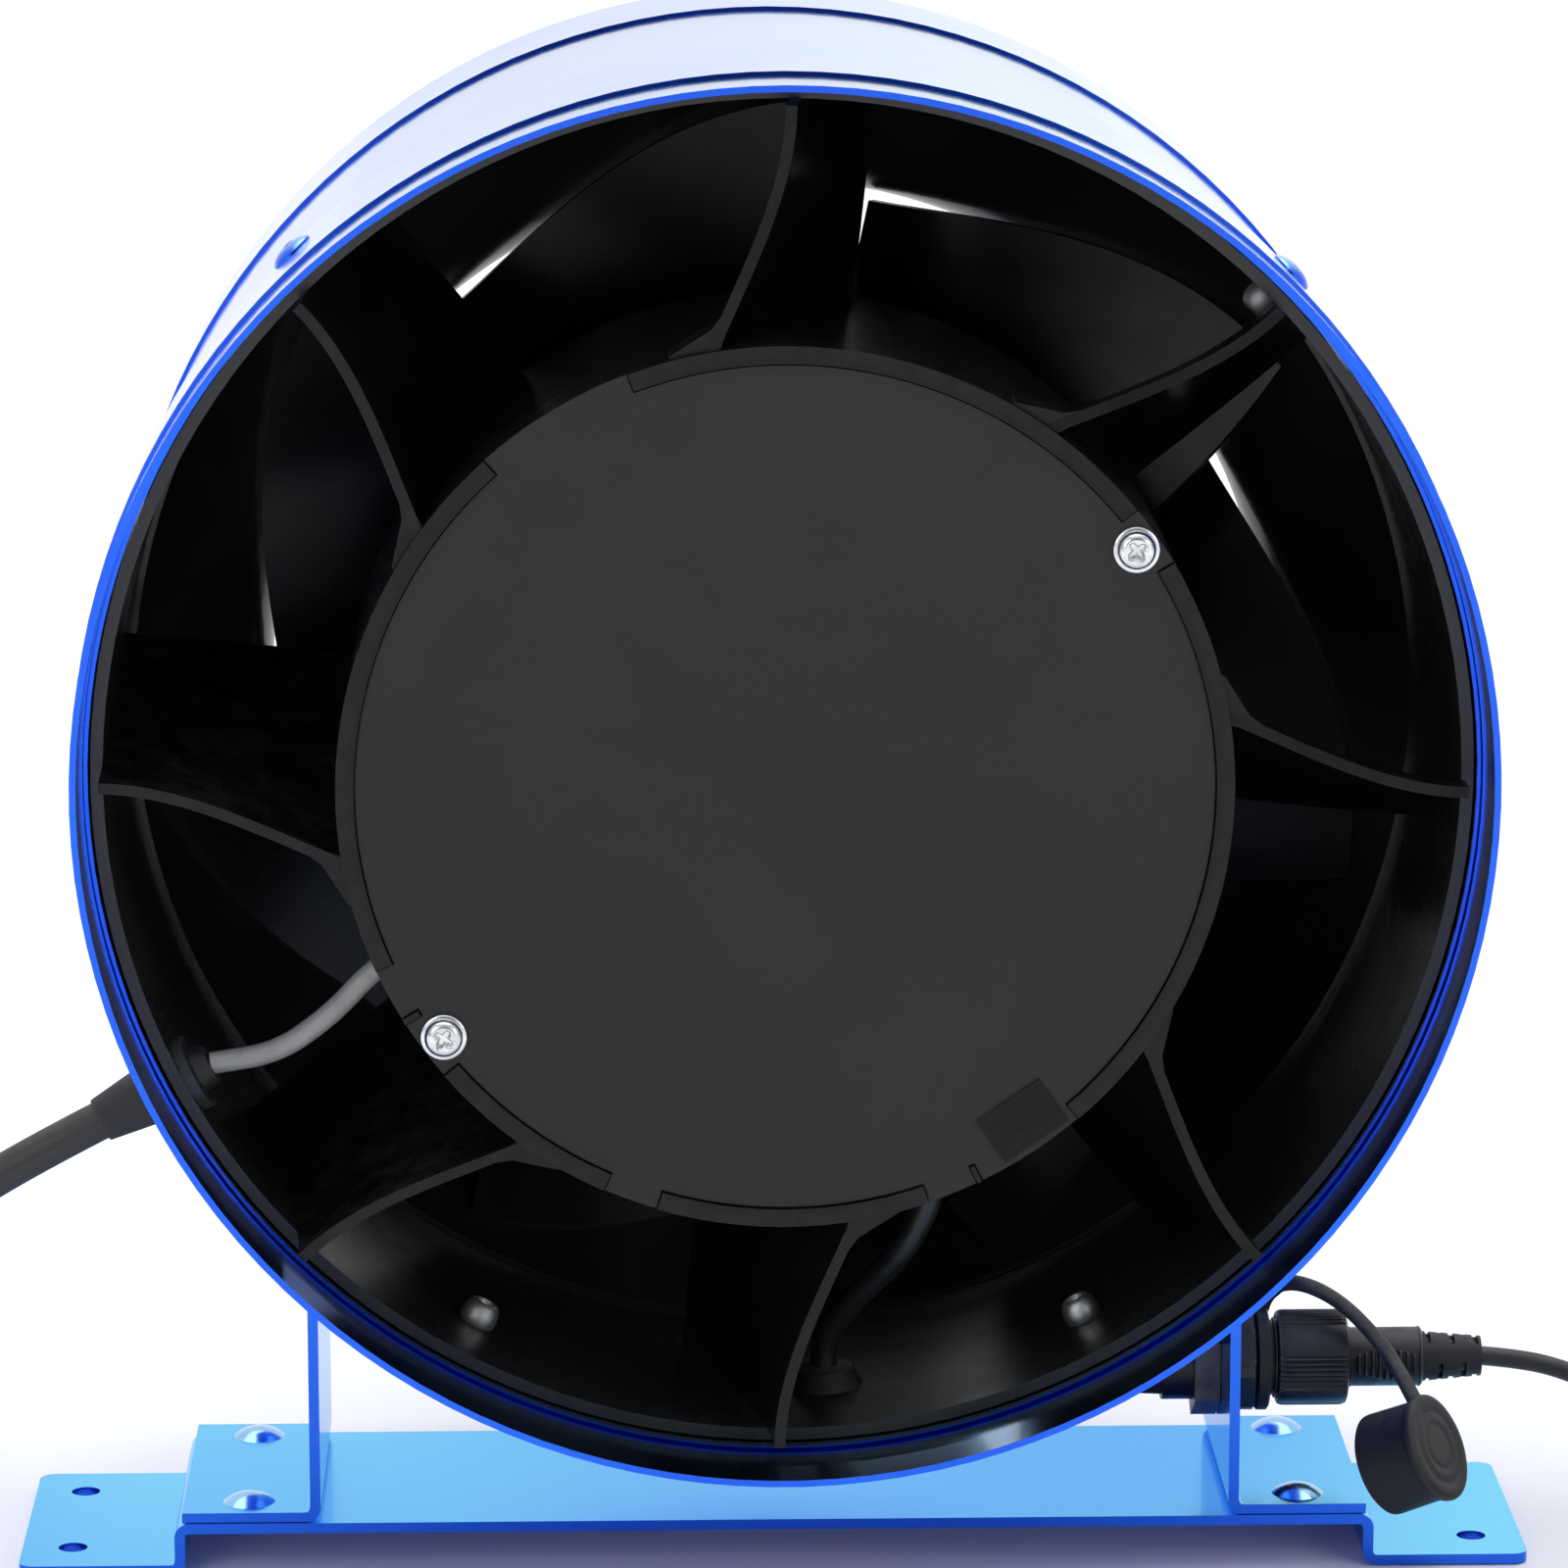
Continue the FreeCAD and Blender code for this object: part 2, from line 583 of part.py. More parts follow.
def make_motor():
    shaft_radius, bearing_radius = dimension("shaft_radius"), dimension("bearing_radius")
    can_radius, can_wall = dimension("can_radius"), dimension("can_wall")
    back = dimension("hub_back") - 3
    flange = on_axis(new_body("motor_flange"))
    revolve(flange, [(depth(back - 4), bearing_radius), (depth(117), bearing_radius),
                     (depth(117), 14), (depth(back), 14), (depth(back), 36), (depth(back - 4), 36)])
    for angle in MOTOR_SCREW_ANGLES:
        x, z = on_circle(MOTOR_SCREW_RADIUS, angle)
        pocket(flange, circle(face_sketch(flange, "hole", back - 5), x, z, 2.05), 6)

    shaft = on_axis(new_body("motor_shaft"))
    groove = shaft_radius - 0.6
    revolve(shaft, [(depth(70), 0), (depth(70), shaft_radius), (depth(71.1), shaft_radius),
                    (depth(71.1), groove), (depth(72.3), groove), (depth(72.3), shaft_radius),
                    (depth(122), shaft_radius), (depth(122), 0)][::-1])
    ring(on_axis(new_body("retaining_ring")), depth(71.2), depth(72.2), groove + 0.02, 6.4)

    stack = on_axis(new_body("lamination_stack"))
    outside = can_radius - can_wall - MAGNET_THICKNESS - dimension("air_gap")
    ring(stack, depth(90), depth(112), 14.05, outside)
    slot = outline(face_sketch(stack, "slot", 89), [
        (20.8, -3.3), (35.2, -8.5), (36.2, -1.25), (42, -1.25), (42, 1.25), (36.2, 1.25),
        (35.2, 8.5), (20.8, 3.3)])
    pattern(stack, pocket(stack, slot, 24), TEETH)

    doc.recompute()
    coil = Part.makeBox(13, 29, 12.4, Vector(22, 0, -6.2)).cut(
        Part.makeBox(15, 22.6, 8.4, Vector(21, 3.2, -4.2)))
    coils = []
    for k in range(TEETH):
        turned = coil.copy()
        turned.Placement = Placement(axis_point(0, 86.5, 0),
                                     Rotation(Vector(0, 1, 0), 180 / TEETH + 360 / TEETH * k))
        coils.append(turned)
    shape_node("motor_windings", Part.makeCompound(coils))

    can = on_axis(new_body("rotor_can"))
    inside = can_radius - can_wall
    revolve(can, [(depth(86), inside), (depth(118.1), inside), (depth(118.1), shaft_radius + 0.02),
                  (depth(119.7), shaft_radius + 0.02), (depth(119.7), can_radius),
                  (depth(86), can_radius)])
    magnets = on_axis(new_body("rotor_magnets"))
    ring(magnets, depth(88), depth(114), inside - MAGNET_THICKNESS, inside - 0.02)
    for angle in IMPELLER_SCREW_ANGLES:
        x, z = on_circle(IMPELLER_SCREW_RADIUS, angle)
        pocket(can, circle(face_sketch(can, "hole", 117), x, z, 2.05), 4)

    screw = screw_along_duct("motor_screw", 3.6, 2.4, 2, 5.8)
    group_node("motor_screws", screw, [
        Placement(axis_point(angle, behind_hub_wall(-4), MOTOR_SCREW_RADIUS), Rotation())
        for angle in MOTOR_SCREW_ANGLES])


def behind_hub_wall(distance):
    return DIMENSIONS["hub_back"][0] - 3 + distance


def make_electronics():
    """The drive board on three posts in the hub, with its smoothing capacitors."""
    board = on_axis(new_body("circuit_board"))
    ring(board, depth(65), depth(66.6), 12, 60)
    for angle in POST_ANGLES:
        x, z = on_circle(POST_RADIUS, angle)
        pocket(board, circle(face_sketch(board, "hole", 64), x, z, 1.6), 4)
    post = new_body("board_post", kept=False)
    revolve(post, [(0, 0), (0, 2.6), (-6.35, 2.6), (-6.35, 1.5), (-9, 1.5), (-9, 0)])
    group_node("board_posts", post, [
        Placement(axis_point(angle, 73, POST_RADIUS), Rotation()) for angle in POST_ANGLES])
    can = new_body("capacitor", kept=False)
    revolve(can, [(0, 0), (0, 8.6), (-25, 8.6), (-26, 7.6), (-26, 0)])
    group_node("board_capacitors", can, [
        Placement(axis_point(angle, 64.98, 47), Rotation()) for angle in (70, 97, 124)])


def make_impeller():
    front, nose = dimension("rotor_depth"), dimension("nose_depth")
    radius, nose_radius = dimension("rotor_radius"), dimension("nose_radius")
    wall = dimension("rotor_wall")
    hub = on_axis(new_body("impeller_hub"))
    revolve(hub, [
        (depth(front), radius), (depth(nose - 3.5), nose_radius + 6, -HUB_ROUNDING),
        (depth(nose), nose_radius, -7), (depth(nose), 4.3), (depth(nose - 3.8), 4.3),
        (depth(nose - 3.8), nose_radius + 1.5), (depth(front), radius - wall, HUB_ROUNDING)])
    for angle in IMPELLER_SCREW_ANGLES:
        x, z = on_circle(IMPELLER_SCREW_RADIUS, angle)
        pocket(hub, circle(face_sketch(hub, "hole", nose - 5), x, z, 2.15), 6)
    doc.recompute()

    root = arc_between(Vector(front.value, radius.value, 0),
                       Vector(nose.value - 3.5, nose_radius.value + 6, 0), -HUB_ROUNDING)
    tip = Part.BSplineCurve()
    tip.interpolate([Vector(distance, radius, 0) for distance, radius in TIP_LINE])
    blades = []
    for k in range(BLADES):
        start = BLADE_START + 360 / BLADES * k
        grid = []
        for i in range(6):
            out = i / 5
            row = []
            for j in range(9):
                share = j / 8
                inner = root.value(root.FirstParameter + (0.03 + 0.93 * share)
                                   * (root.LastParameter - root.FirstParameter))
                inner += (root.Center - inner).normalize() * 1.4
                outer = tip.value(tip.FirstParameter + share
                                  * (tip.LastParameter - tip.FirstParameter))
                place = inner + (outer - inner) * out
                turn = start + BLADE_WRAP * (1 - share) - BLADE_SWEEP * (1 - out) * share
                row.append(axis_point(turn, place.x, place.y))
            grid.append(row)
        blade = curved_plate(grid, DIMENSIONS["blade_thickness"][0]).cut(hub.Shape)
        blades.append(max(blade.Solids, key=lambda solid: solid.Volume))
    shape_node("impeller_blades", Part.makeCompound(blades))
    screw = screw_along_duct("impeller_screw", 3.6, 2.4, 2, 5.6)
    backwards = Rotation(Vector(0, 0, 1), 180)
    group_node("impeller_screws", screw, [
        Placement(axis_point(angle, DIMENSIONS["nose_depth"][0], IMPELLER_SCREW_RADIUS), backwards)
        for angle in IMPELLER_SCREW_ANGLES])


# ---- bracket -----------------------------------------------------------------------------------

def rivet(name, head_radius, head, shank_radius, grip, tail_radius, tail):
    """A rivet along Z: its domed head above the origin, its tail a grip's length below it."""
    body = new_body(name, kept=False)
    dome = (head_radius ** 2 + head ** 2) / (2 * head)
    crown = head - dome + sqrt(dome ** 2 - RIVET_CROWN ** 2)
    return revolve(body, [(0, -grip - tail), (tail_radius * 0.75, -grip - tail),
                          (tail_radius, -grip - tail * 0.6), (tail_radius, -grip),
                          (shank_radius, -grip), (shank_radius, 0), (head_radius, 0),
                          (RIVET_CROWN, crown, dome), (0, crown)], "XZ_Plane", "V_Axis")


def make_casing_rivets():
    outside = DIMENSIONS["collar_radius"][0]
    grip = outside - liner_inside()
    sample = rivet("collar_rivet", 4.2, 1.7, 2.4, grip, 3, 4.6)
    group_node("collar_rivets", sample, [
        radial_place(angle, COLLAR_RIVET_DEPTH, outside) for angle in COLLAR_RIVET_ANGLES])
    tube, wall = DIMENSIONS["tube_radius"][0], DIMENSIONS["sheet_steel"][0]
    tab = DIMENSIONS["plate"][0] + TAB_GAP
    sample = rivet("tab_rivet", 3.8, 1.5, 2, wall + tab, 2.8, 2.6)
    group_node("leg_tab_rivets", sample, [
        radial_place(angle, distance, tube + tab)
        for angle in TAB_RIVET_ANGLES for distance in TAB_RIVET_DEPTHS])


def liner_inside():
    return (DIMENSIONS["tube_radius"][0] - DIMENSIONS["sheet_steel"][0]
            - DIMENSIONS["liner_gap"][0] - DIMENSIONS["liner_wall"][0])


def bracket_body(name):
    body = new_body(name)
    body.setExpression("Placement.Base.y", depth(dimension("base_middle")).text)
    return body


def upright_holes(body, places, radius, top):
    sketch = sketch_on(body, "XY_Plane", "holes", Placement(Vector(0, 0, top), Rotation()))
    for x, y in places:
        circle(sketch, x, y, radius)
    return pocket(body, sketch, 12)


def mirrored(points):
    """The same outline on the other side of the fan, in the opposite order."""
    other = []
    for i in range(len(points) - 1, -1, -1):
        following = points[(i + 1) % len(points)]
        other.append((-size_of(points[i][0]), points[i][1], *following[2:]))
    return other


def make_base_rail():
    plate, top = dimension("plate"), dimension("plate_height")
    half, raised = dimension("base_half"), dimension("raised_half")
    rail = bracket_body("base_rail")
    inner, outer = 0.8, plate + 0.8
    right = [(raised - inner, top - plate), (raised, top - plate - inner, -inner),
             (raised, outer), (raised + outer, 0, outer), (half, 0), (half, plate),
             (raised + outer, plate), (raised + plate, plate + inner, -inner),
             (raised + plate, top - outer), (raised - inner, top, outer)]
    pad(rail, outline(sketch_on(rail, "XZ_Plane", "profile"), right + mirrored(right)),
        dimension("base_depth"))
    hole_x, pitch = dimension("foot_hole_x"), dimension("foot_hole_pitch") / 2
    upright_holes(rail, [(x, y) for x in (-hole_x, hole_x) for y in (-pitch, pitch)],
                  dimension("foot_hole"), 5)
    rivet_x, rivet_pitch = dimension("rivet_x"), dimension("rivet_pitch") / 2
    upright_holes(rail, [(x, y) for x in (-rivet_x, rivet_x) for y in (-rivet_pitch, rivet_pitch)],
                  2.55, 14)
    doc.recompute()
    corners = [f"Edge{i}" for i, edge in enumerate(rail.Shape.Edges, start=1)
               if abs(abs(edge.CenterOfMass.x) - half.value) < 0.01
               and edge.BoundBox.ZLength > 1.9]
    flat = rail.Tip
    rounding = rail.newObject("PartDesign::Fillet", "foot_corners")
    rounding.Base = (flat, corners)
    rounding.Radius = 3


def make_leg(name, side):
    """An angled leg: a flange riveted to the rail, an upright, and a tab under the casing."""
    plate, outer = dimension("plate"), dimension("leg_x")
    floor, edge = dimension("plate_height"), dimension("flange_x")
    axis, inside = dimension("axis_height"), dimension("tube_radius") + TAB_GAP
    outside = inside + plate
    turn = radians(TAB_END)
    leg = bracket_body(name)

    def along(reach, across):
        return axis - (reach * reach - across * across).root()

    right = [(edge, floor), (edge, floor + plate), (outer + 1, floor + plate),
             (outer, floor + plate + 1, -1), (outer, along(inside, outer)),
             (inside * sin(turn), axis - inside * cos(turn), -inside),
             (outside * sin(turn), axis - outside * cos(turn)),
             (outer - plate, along(outside, outer - plate), outside),
             (outer - plate, floor + 3), (outer - plate + 3, floor, 3)]
    points = right if side > 0 else mirrored(right)
    pad(leg, outline(sketch_on(leg, "XZ_Plane", "profile"), points), dimension("base_depth") - 1)
    rivet_x, pitch = dimension("rivet_x") * side, dimension("rivet_pitch") / 2
    upright_holes(leg, [(rivet_x, -pitch), (rivet_x, pitch)], 2.55, 14)
    if side > 0:
        across = Placement(Vector(0, 0, 80), Rotation())
        sketch = sketch_on(leg, "YZ_Plane", "socket_hole", across)
        pocket(leg, circle(sketch, 0, dimension("socket_height"), 8.15), 20, reverse=True)
    for distance in TAB_RIVET_DEPTHS:
        angle = TAB_RIVET_ANGLES[1 if side > 0 else 0]
        offset = Placement(Vector(0, 0, axis.value), radial_turn(angle))
        sketch = circle(sketch_on(leg, "XY_Plane", "tab_hole", offset), 0,
                        distance - DIMENSIONS["base_middle"][0], 2.05)
        pocket(leg, sketch, 132, reverse=True)


def make_base_rivets():
    top = DIMENSIONS["plate_height"][0] + DIMENSIONS["plate"][0]
    sample = rivet("base_rivet", 5, 1.9, 2.5, 2 * DIMENSIONS["plate"][0], 4, 1.2)
    x, pitch = DIMENSIONS["rivet_x"][0], DIMENSIONS["rivet_pitch"][0] / 2
    middle = behind(DIMENSIONS["base_middle"][0])
    group_node("base_rivets", sample, [
        Placement(Vector(side * x, middle + step, top), Rotation())
        for side in (-1, 1) for step in (-pitch, pitch)])


# ---- cords and leads ---------------------------------------------------------------------------

def rounded_path(points):
    """Straight runs through the points, joined by tangent arcs as large as the runs allow."""
    points = [Vector(*point) for point in points]
    edges, start, bends = [], points[0], []
    for before, corner, after in zip(points, points[1:], points[2:]):
        arriving, leaving = corner - before, after - corner
        half = arriving.getAngle(leaving) / 2
        reach = 0.45 * min(arriving.Length, leaving.Length)
        radius = reach / tan(half)
        first = corner - arriving.normalize() * reach
        last = corner + leaving.normalize() * reach
        inwards = (first - corner) + (last - corner)
        middle = corner + inwards.normalize() * (radius / cos(half) - radius)
        edges += [Part.LineSegment(start, first).toShape(), Part.Arc(first, middle, last).toShape()]
        start = last
        bends.append(radius)
    edges.append(Part.LineSegment(start, points[-1]).toShape())
    return Part.Wire(edges), bends


def cord_solid(points, diameter, name):
    path, bends = rounded_path(points)
    start = Vector(*points[0])
    circle_wire = Part.Wire(Part.Circle(start, Vector(*points[1]) - start, diameter / 2).toShape())
    tube = path.makePipeShell([circle_wire], True, False)
    share = tube.Volume / (pi * diameter ** 2 / 4 * path.Length)
    print(f"{name}: {path.Length:.0f} mm, {share:.3f} of its section times its length, bend radii "
          f"{[round(bend) for bend in bends]}")
    return tube


def make_leads():
    """The two leads inside the casing and the bushings they pass through."""
    bushing = new_body("power_bushing")
    revolve(bushing, [(0, 12.5), (4.1, 12.5), (5.4, 3), (7.2, 2), (7.2, 0.05), (4.95, 0.05),
                      (4.95, -5.3), (7, -5.3), (7, -7.2), (4.6, -7.4), (3.6, -10), (0, -10)],
            "XZ_Plane", "V_Axis")
    outside = DIMENSIONS["collar_radius"][0]
    bushing.Placement = radial_place(BUSHING_ANGLE, BUSHING_DEPTH, outside)
    power = [axis_point(*place) for place in (
        (205.6, 28, 71), (206.2, 28, 82), (208.8, 28, 93), (209.6, 28, 105),
        (BUSHING_ANGLE, 28, outside - 10.02))]
    shape_node("power_lead", cord_solid(power, POWER_LEAD_DIAMETER, "power_lead"))

    grommet = new_body("signal_grommet")
    revolve(grommet, [(2.55, 1.8), (6.4, 1.2), (6.4, 0.05), (4.4, 0.05), (4.4, -5.3), (7, -5.3),
                      (5.2, -8.6), (2.55, -9.2)], "XZ_Plane", "V_Axis")
    grommet.Placement = radial_place(SIGNAL_ANGLE, SIGNAL_DEPTH, outside)
    boot_end = (BOOT_END, behind(DIMENSIONS["base_middle"][0]), DIMENSIONS["socket_height"][0])
    signal = [axis_point(*place) for place in (
        (291, 30, 71), (289.6, 30, 83), (284, 34, 94), (277.5, 42, 103.5),
        (SIGNAL_ANGLE, SIGNAL_DEPTH, 112), (SIGNAL_ANGLE, SIGNAL_DEPTH, 129))]
    signal += [(12, -38, 30.6), (19, -29, 28.6), (28, -16.5, 30.4), (36, -4.5, 32.4),
               (43, 6.5, 33), (48, 14, 33), boot_end]
    shape_node("signal_lead", cord_solid(signal, SIGNAL_LEAD_DIAMETER, "signal_lead"))


def make_coil(name, middle, diameter, layers, mean_radius):
    """The outer shape of a wound cord: two turns side by side, with one more turn on top."""
    coil = new_body(name)
    inner, outer = mean_radius - diameter, mean_radius + diameter
    low, high = diameter * (layers - 1), diameter * layers
    revolve(coil, [(inner, 0), (outer, 0), (outer, high), (mean_radius, high), (mean_radius, low),
                   (inner, low)], "XZ_Plane", "V_Axis")
    coil.Placement = Placement(Vector(*middle, 0), Rotation())


def make_cords():
    power, signal = dimension("power_cord"), dimension("signal_cord")
    shape_node("power_cord", cord_solid(POWER_LEAD, power.value, "power_cord"))
    shape_node("power_cord_tail", cord_solid(POWER_TAIL, power.value, "power_cord_tail"))
    make_coil("power_cord_coil", POWER_COIL, power, 3, power * 5.75)
    shape_node("signal_cord", cord_solid(SIGNAL_LEAD, signal.value, "signal_cord"))
    shape_node("signal_cord_tail", cord_solid(SIGNAL_TAIL, signal.value, "signal_cord_tail"))
    make_coil("signal_cord_coil", SIGNAL_COIL, signal, 5, signal * 5.5)


def rounded_box(name, low, high, rounding, edges="all"):
    """A Part box between two corners with rounded edges, at its place in the assembly."""
    box = doc.addObject("Part::Box", f"{name}_block")
    box.Length, box.Width, box.Height = (b - a for a, b in zip(low, high))
    box.Placement = Placement(Vector(*low), Rotation())
    doc.recompute()
    chosen = [i for i, edge in enumerate(box.Shape.Edges, start=1)
              if edges == "all" or edge.BoundBox.ZLength > 1]
    fillet = doc.addObject("Part::Fillet", name)
    fillet.Base = box
    fillet.Edges = [(i, rounding, rounding) for i in chosen]
    return fillet


def cone_node(name, start, direction, first_radius, last_radius, length):
    cone = doc.addObject("Part::Cone", name)
    cone.Label = name
    cone.Radius1, cone.Radius2, cone.Height = first_radius, last_radius, length
    cone.Placement = Placement(Vector(*start), Rotation(Vector(0, 0, 1), Vector(*direction)))
    nodes.append(cone)
    return cone


def make_mains_plug():
    x, y, z = POWER_TAIL[-1]
    body_start, body_end = x + PLUG_SLEEVE, x + PLUG_SLEEVE + PLUG_BODY
    cone_node("plug_sleeve", POWER_TAIL[-1], (1, 0, 0), 4.4, 7.6, PLUG_SLEEVE)
    body = rounded_box("mains_plug", (body_start, y - 13, 0), (body_end, y + 13, 2 * z), 4)
    nodes.append(body)
    blades = [Part.makeBox(PLUG_PINS, 1.5, 6.4, Vector(body_end, y + side * 6.35 - 0.75, z - 0.5))
              for side in (-1, 1)]
    round_pin = Part.makeCylinder(2.4, PLUG_PINS, Vector(body_end, y, z - 5), Vector(1, 0, 0))
    shape_node("plug_pins", Part.makeCompound(blades + [round_pin]))


# ---- connector ---------------------------------------------------------------------------------

def socket_body(name):
    """A body turned about the connector's axis, which runs along X."""
    body = new_body(name)
    body.setExpression("Placement.Base.y", depth(dimension("base_middle")).text)
    body.setExpression("Placement.Base.z", dimension("socket_height").text)
    return body


def turned_on_socket(name, points):
    return revolve(socket_body(name), points, "XZ_Plane", "H_Axis")


def make_connector():
    leg, thread = dimension("leg_x"), dimension("thread_radius")
    turned_on_socket("panel_socket", [
        (leg - 13, 0), (leg - 13, 8), (leg + 1, 8), (leg + 1, 10.2), (leg + 5, 10.2),
        (leg + 5, thread), (leg + 17, thread), (leg + 17, 6.4), (leg + 10, 6.4), (leg + 10, 0)])
    turned_on_socket("socket_seal", [(leg, 8.1), (leg + 1, 8.1), (leg + 1, 10), (leg, 10)])
    turned_on_socket("socket_boot", [
        (leg - 13.02, 0), (leg - 13.02, 7), (leg - 23, 6.6), (BOOT_END, 4.2), (BOOT_END, 0)])
    nut = socket_body("socket_nut")
    hexagon = [(11.5 * sin(radians(60 * k)), 11.5 * cos(radians(60 * k))) for k in range(6)]
    offset = Placement(Vector(0, 0, leg.value - 7), Rotation())
    pad(nut, outline(sketch_on(nut, "YZ_Plane", "hexagon", offset), hexagon), 4.9, symmetric=False)
    bore = circle(sketch_on(nut, "YZ_Plane", "bore", offset), 0, 0, 8.05)
    pocket(nut, bore, 10, reverse=True)

    bore, outside = thread + 0.05, dimension("thread_radius") + 1.45
    turned_on_socket("coupling_nut", [
        (leg + 9.5, bore), (leg + 18.6, bore), (leg + 18.6, 6), (leg + 23.2, 6),
        (leg + 23.2, outside - 0.7), (leg + 22.5, outside), (leg + 10.2, outside),
        (leg + 9.5, outside - 0.7)])
    turned_on_socket("signal_plug", [
        (leg + 11, 0), (leg + 11, 6.3), (leg + 17.3, 6.3), (leg + 17.3, 7.5), (leg + 18.4, 7.5),
        (leg + 18.4, 5.9), (leg + 38, 5.9), (leg + 38, 0)])
    end = SIGNAL_LEAD[0]
    start_x = DIMENSIONS["leg_x"][0] + 38
    cone_node("plug_relief", (start_x, *end[1:]), (1, 0, 0), 4.6, 3.8, end[0] - start_x)


def make_dust_cap():
    """A rubber cap on a strap whose ring turns on the connector's thread."""
    facing = Vector(CAP_FACING).normalize()
    back = CAP_MIDDLE - facing * 6.5
    cap = Part.makeCylinder(10, 13, back, facing)
    cap = cap.fuse(Part.makeCylinder(10.4, 1.4, back + facing * 11.8, facing))
    cap = cap.cut(Part.makeCylinder(8.2, 10.5, back, facing))
    middle = Vector(DIMENSIONS["leg_x"][0] + 5.2, behind(DIMENSIONS["base_middle"][0]),
                    DIMENSIONS["socket_height"][0])
    along = Vector(1, 0, 0)
    loop = Part.makeCylinder(10.3, 2.6, middle, along).cut(
        Part.makeCylinder(DIMENSIONS["thread_radius"][0] + 0.06, 2.6, middle, along))
    strap = cord_solid(CAP_STRAP, 3, "dust_cap strap")
    shape_node("dust_cap", loop.fuse([strap, cap]))


# ---- speed controller --------------------------------------------------------------------------

def make_controller():
    x, y, split, top = *CONTROLLER_MIDDLE, CONTROLLER_SPLIT, CONTROLLER_TOP
    half_x, half_y, wall = 22, 31, 2
    cable_end = SIGNAL_TAIL[-1]

    def shell(name, low, high, hollow_low, hollow_high):
        block = rounded_box(f"{name}_outside", (x - half_x, y - half_y, low),
                            (x + half_x, y + half_y, high), 5, "upright")
        hollow = rounded_box(f"{name}_inside", (x - half_x + wall, y - half_y + wall, hollow_low),
                             (x + half_x - wall, y + half_y - wall, hollow_high), 3, "upright")
        cut = doc.addObject("Part::Cut", name)
        cut.Base, cut.Tool = block, hollow
        return cut

    base = shell("controller_base", 0, split, wall, split + 2)
    base.Label = "controller_base"
    nodes.append(base)
    lid = shell("lid_shell", split + 0.05, top, split - 2, top - wall)
    hole = doc.addObject("Part::Cylinder", "lid_hole")
    hole.Radius, hole.Height = 3.2, 6
    hole.Placement = Placement(Vector(x, y, top - 4), Rotation())
    drilled = doc.addObject("Part::Cut", "controller_lid")
    drilled.Label = "controller_lid"
    drilled.Base, drilled.Tool = lid, hole
    nodes.append(drilled)
    pot = new_body("speed_potentiometer")
    revolve(pot, [(0, -10), (8, -10), (8, -0.05), (4, -0.05), (4, -2.2), (0, -2.2)],
            "XZ_Plane", "V_Axis")
    pot.Placement = Placement(Vector(x, y, top - wall), Rotation())
    knob = new_body("speed_knob")
    revolve(knob, [(0, -1.9), (2.9, -1.9), (2.9, wall + 0.6), (13, wall + 0.6), (12.4, wall + 10),
                   (11.2, wall + 11.2), (0, wall + 11.2)], "XZ_Plane", "V_Axis")
    knob.Placement = Placement(Vector(x, y, top - wall), Rotation())
    cone_node("controller_relief", cable_end, (0, -1, 0), 3, 4.6,
              cable_end[1] - (y + half_y))


# ---- the assembly ------------------------------------------------------------------------------

def write_parts():
    doc.recompute()
    failed = [o.Name for o in doc.Objects if {"Invalid", "Error"} & set(o.State)]
    if failed:
        raise RuntimeError(f"these objects failed: {failed}")
    os.makedirs("parts", exist_ok=True)
    for node in nodes:
        shape = node.Shape
        if shape.isNull() or not shape.isValid() or not shape.Solids:
            raise RuntimeError(f"{node.Label} has no valid solid")
        shape.exportStep(f"parts/{node.Label}.step")
    print(f"{len(nodes)} parts written")


def main():
    fill_sheet()
    make_casing()
    make_inlet_shroud()
    make_casing_rivets()
    make_stator_hub()
    make_hub_cover()
    make_cover_fixings()
    make_guide_vanes()
    make_motor()
    make_bearings()
    make_electronics()
    make_impeller()
    make_base_rail()
    make_leg("left_leg", -1)
    make_leg("right_leg", 1)
    make_base_rivets()
    make_leads()
    make_connector()
    make_dust_cap()
    make_cords()
    make_mains_plug()
    make_controller()
    write_parts()


main()
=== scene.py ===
"""Inline duct fan: the finishes, cords, connector, screws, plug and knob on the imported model.

Lengths in the tables below are in millimetres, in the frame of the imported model: X to the right,
Y back along the duct from the outlet to the inlet, Z up from the surface the fan stands on.
"""
import bpy
import json
from math import atan2, cos, exp, pi, radians, sin, sqrt
from mathutils import Matrix, Vector


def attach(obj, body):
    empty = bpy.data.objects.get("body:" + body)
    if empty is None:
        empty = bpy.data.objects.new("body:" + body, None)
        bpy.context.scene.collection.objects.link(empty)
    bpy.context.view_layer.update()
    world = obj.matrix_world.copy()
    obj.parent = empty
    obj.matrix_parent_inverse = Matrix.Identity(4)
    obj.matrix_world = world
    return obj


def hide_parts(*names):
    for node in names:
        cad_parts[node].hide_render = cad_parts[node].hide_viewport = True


MM = 0.001

# Routes of the cords where they aren't coiled
POWER_LEAD = [(-123.3, -61, 103.8), (-141, -61, 94.6), (-158, -61, 83), (-171, -61, 67.5),
              (-180.5, -61.2, 49.5), (-190.5, -61.8, 32), (-204, -62.8, 18), (-221, -64.2, 8.3),
              (-243.9, -64.8, 3.6)]
POWER_TAIL = [(-285, -20, 18), (-285.5, -2, 16.8), (-284, 16, 14.6), (-277, 33, 12.8),
              (-264.5, 46, 12), (-248, 52.8, 12), (-234, 54, 12)]
SIGNAL_LEAD = [(138.6, 19.5, 33), (147, 19.6, 32.2), (156, 19.4, 29.8), (164.5, 18.6, 25.6),
               (171.5, 17, 19.8), (178.5, 15, 13.6), (187, 12.4, 7.6), (196.5, 10.7, 3.4),
               (206, 10.2, 1.9)]
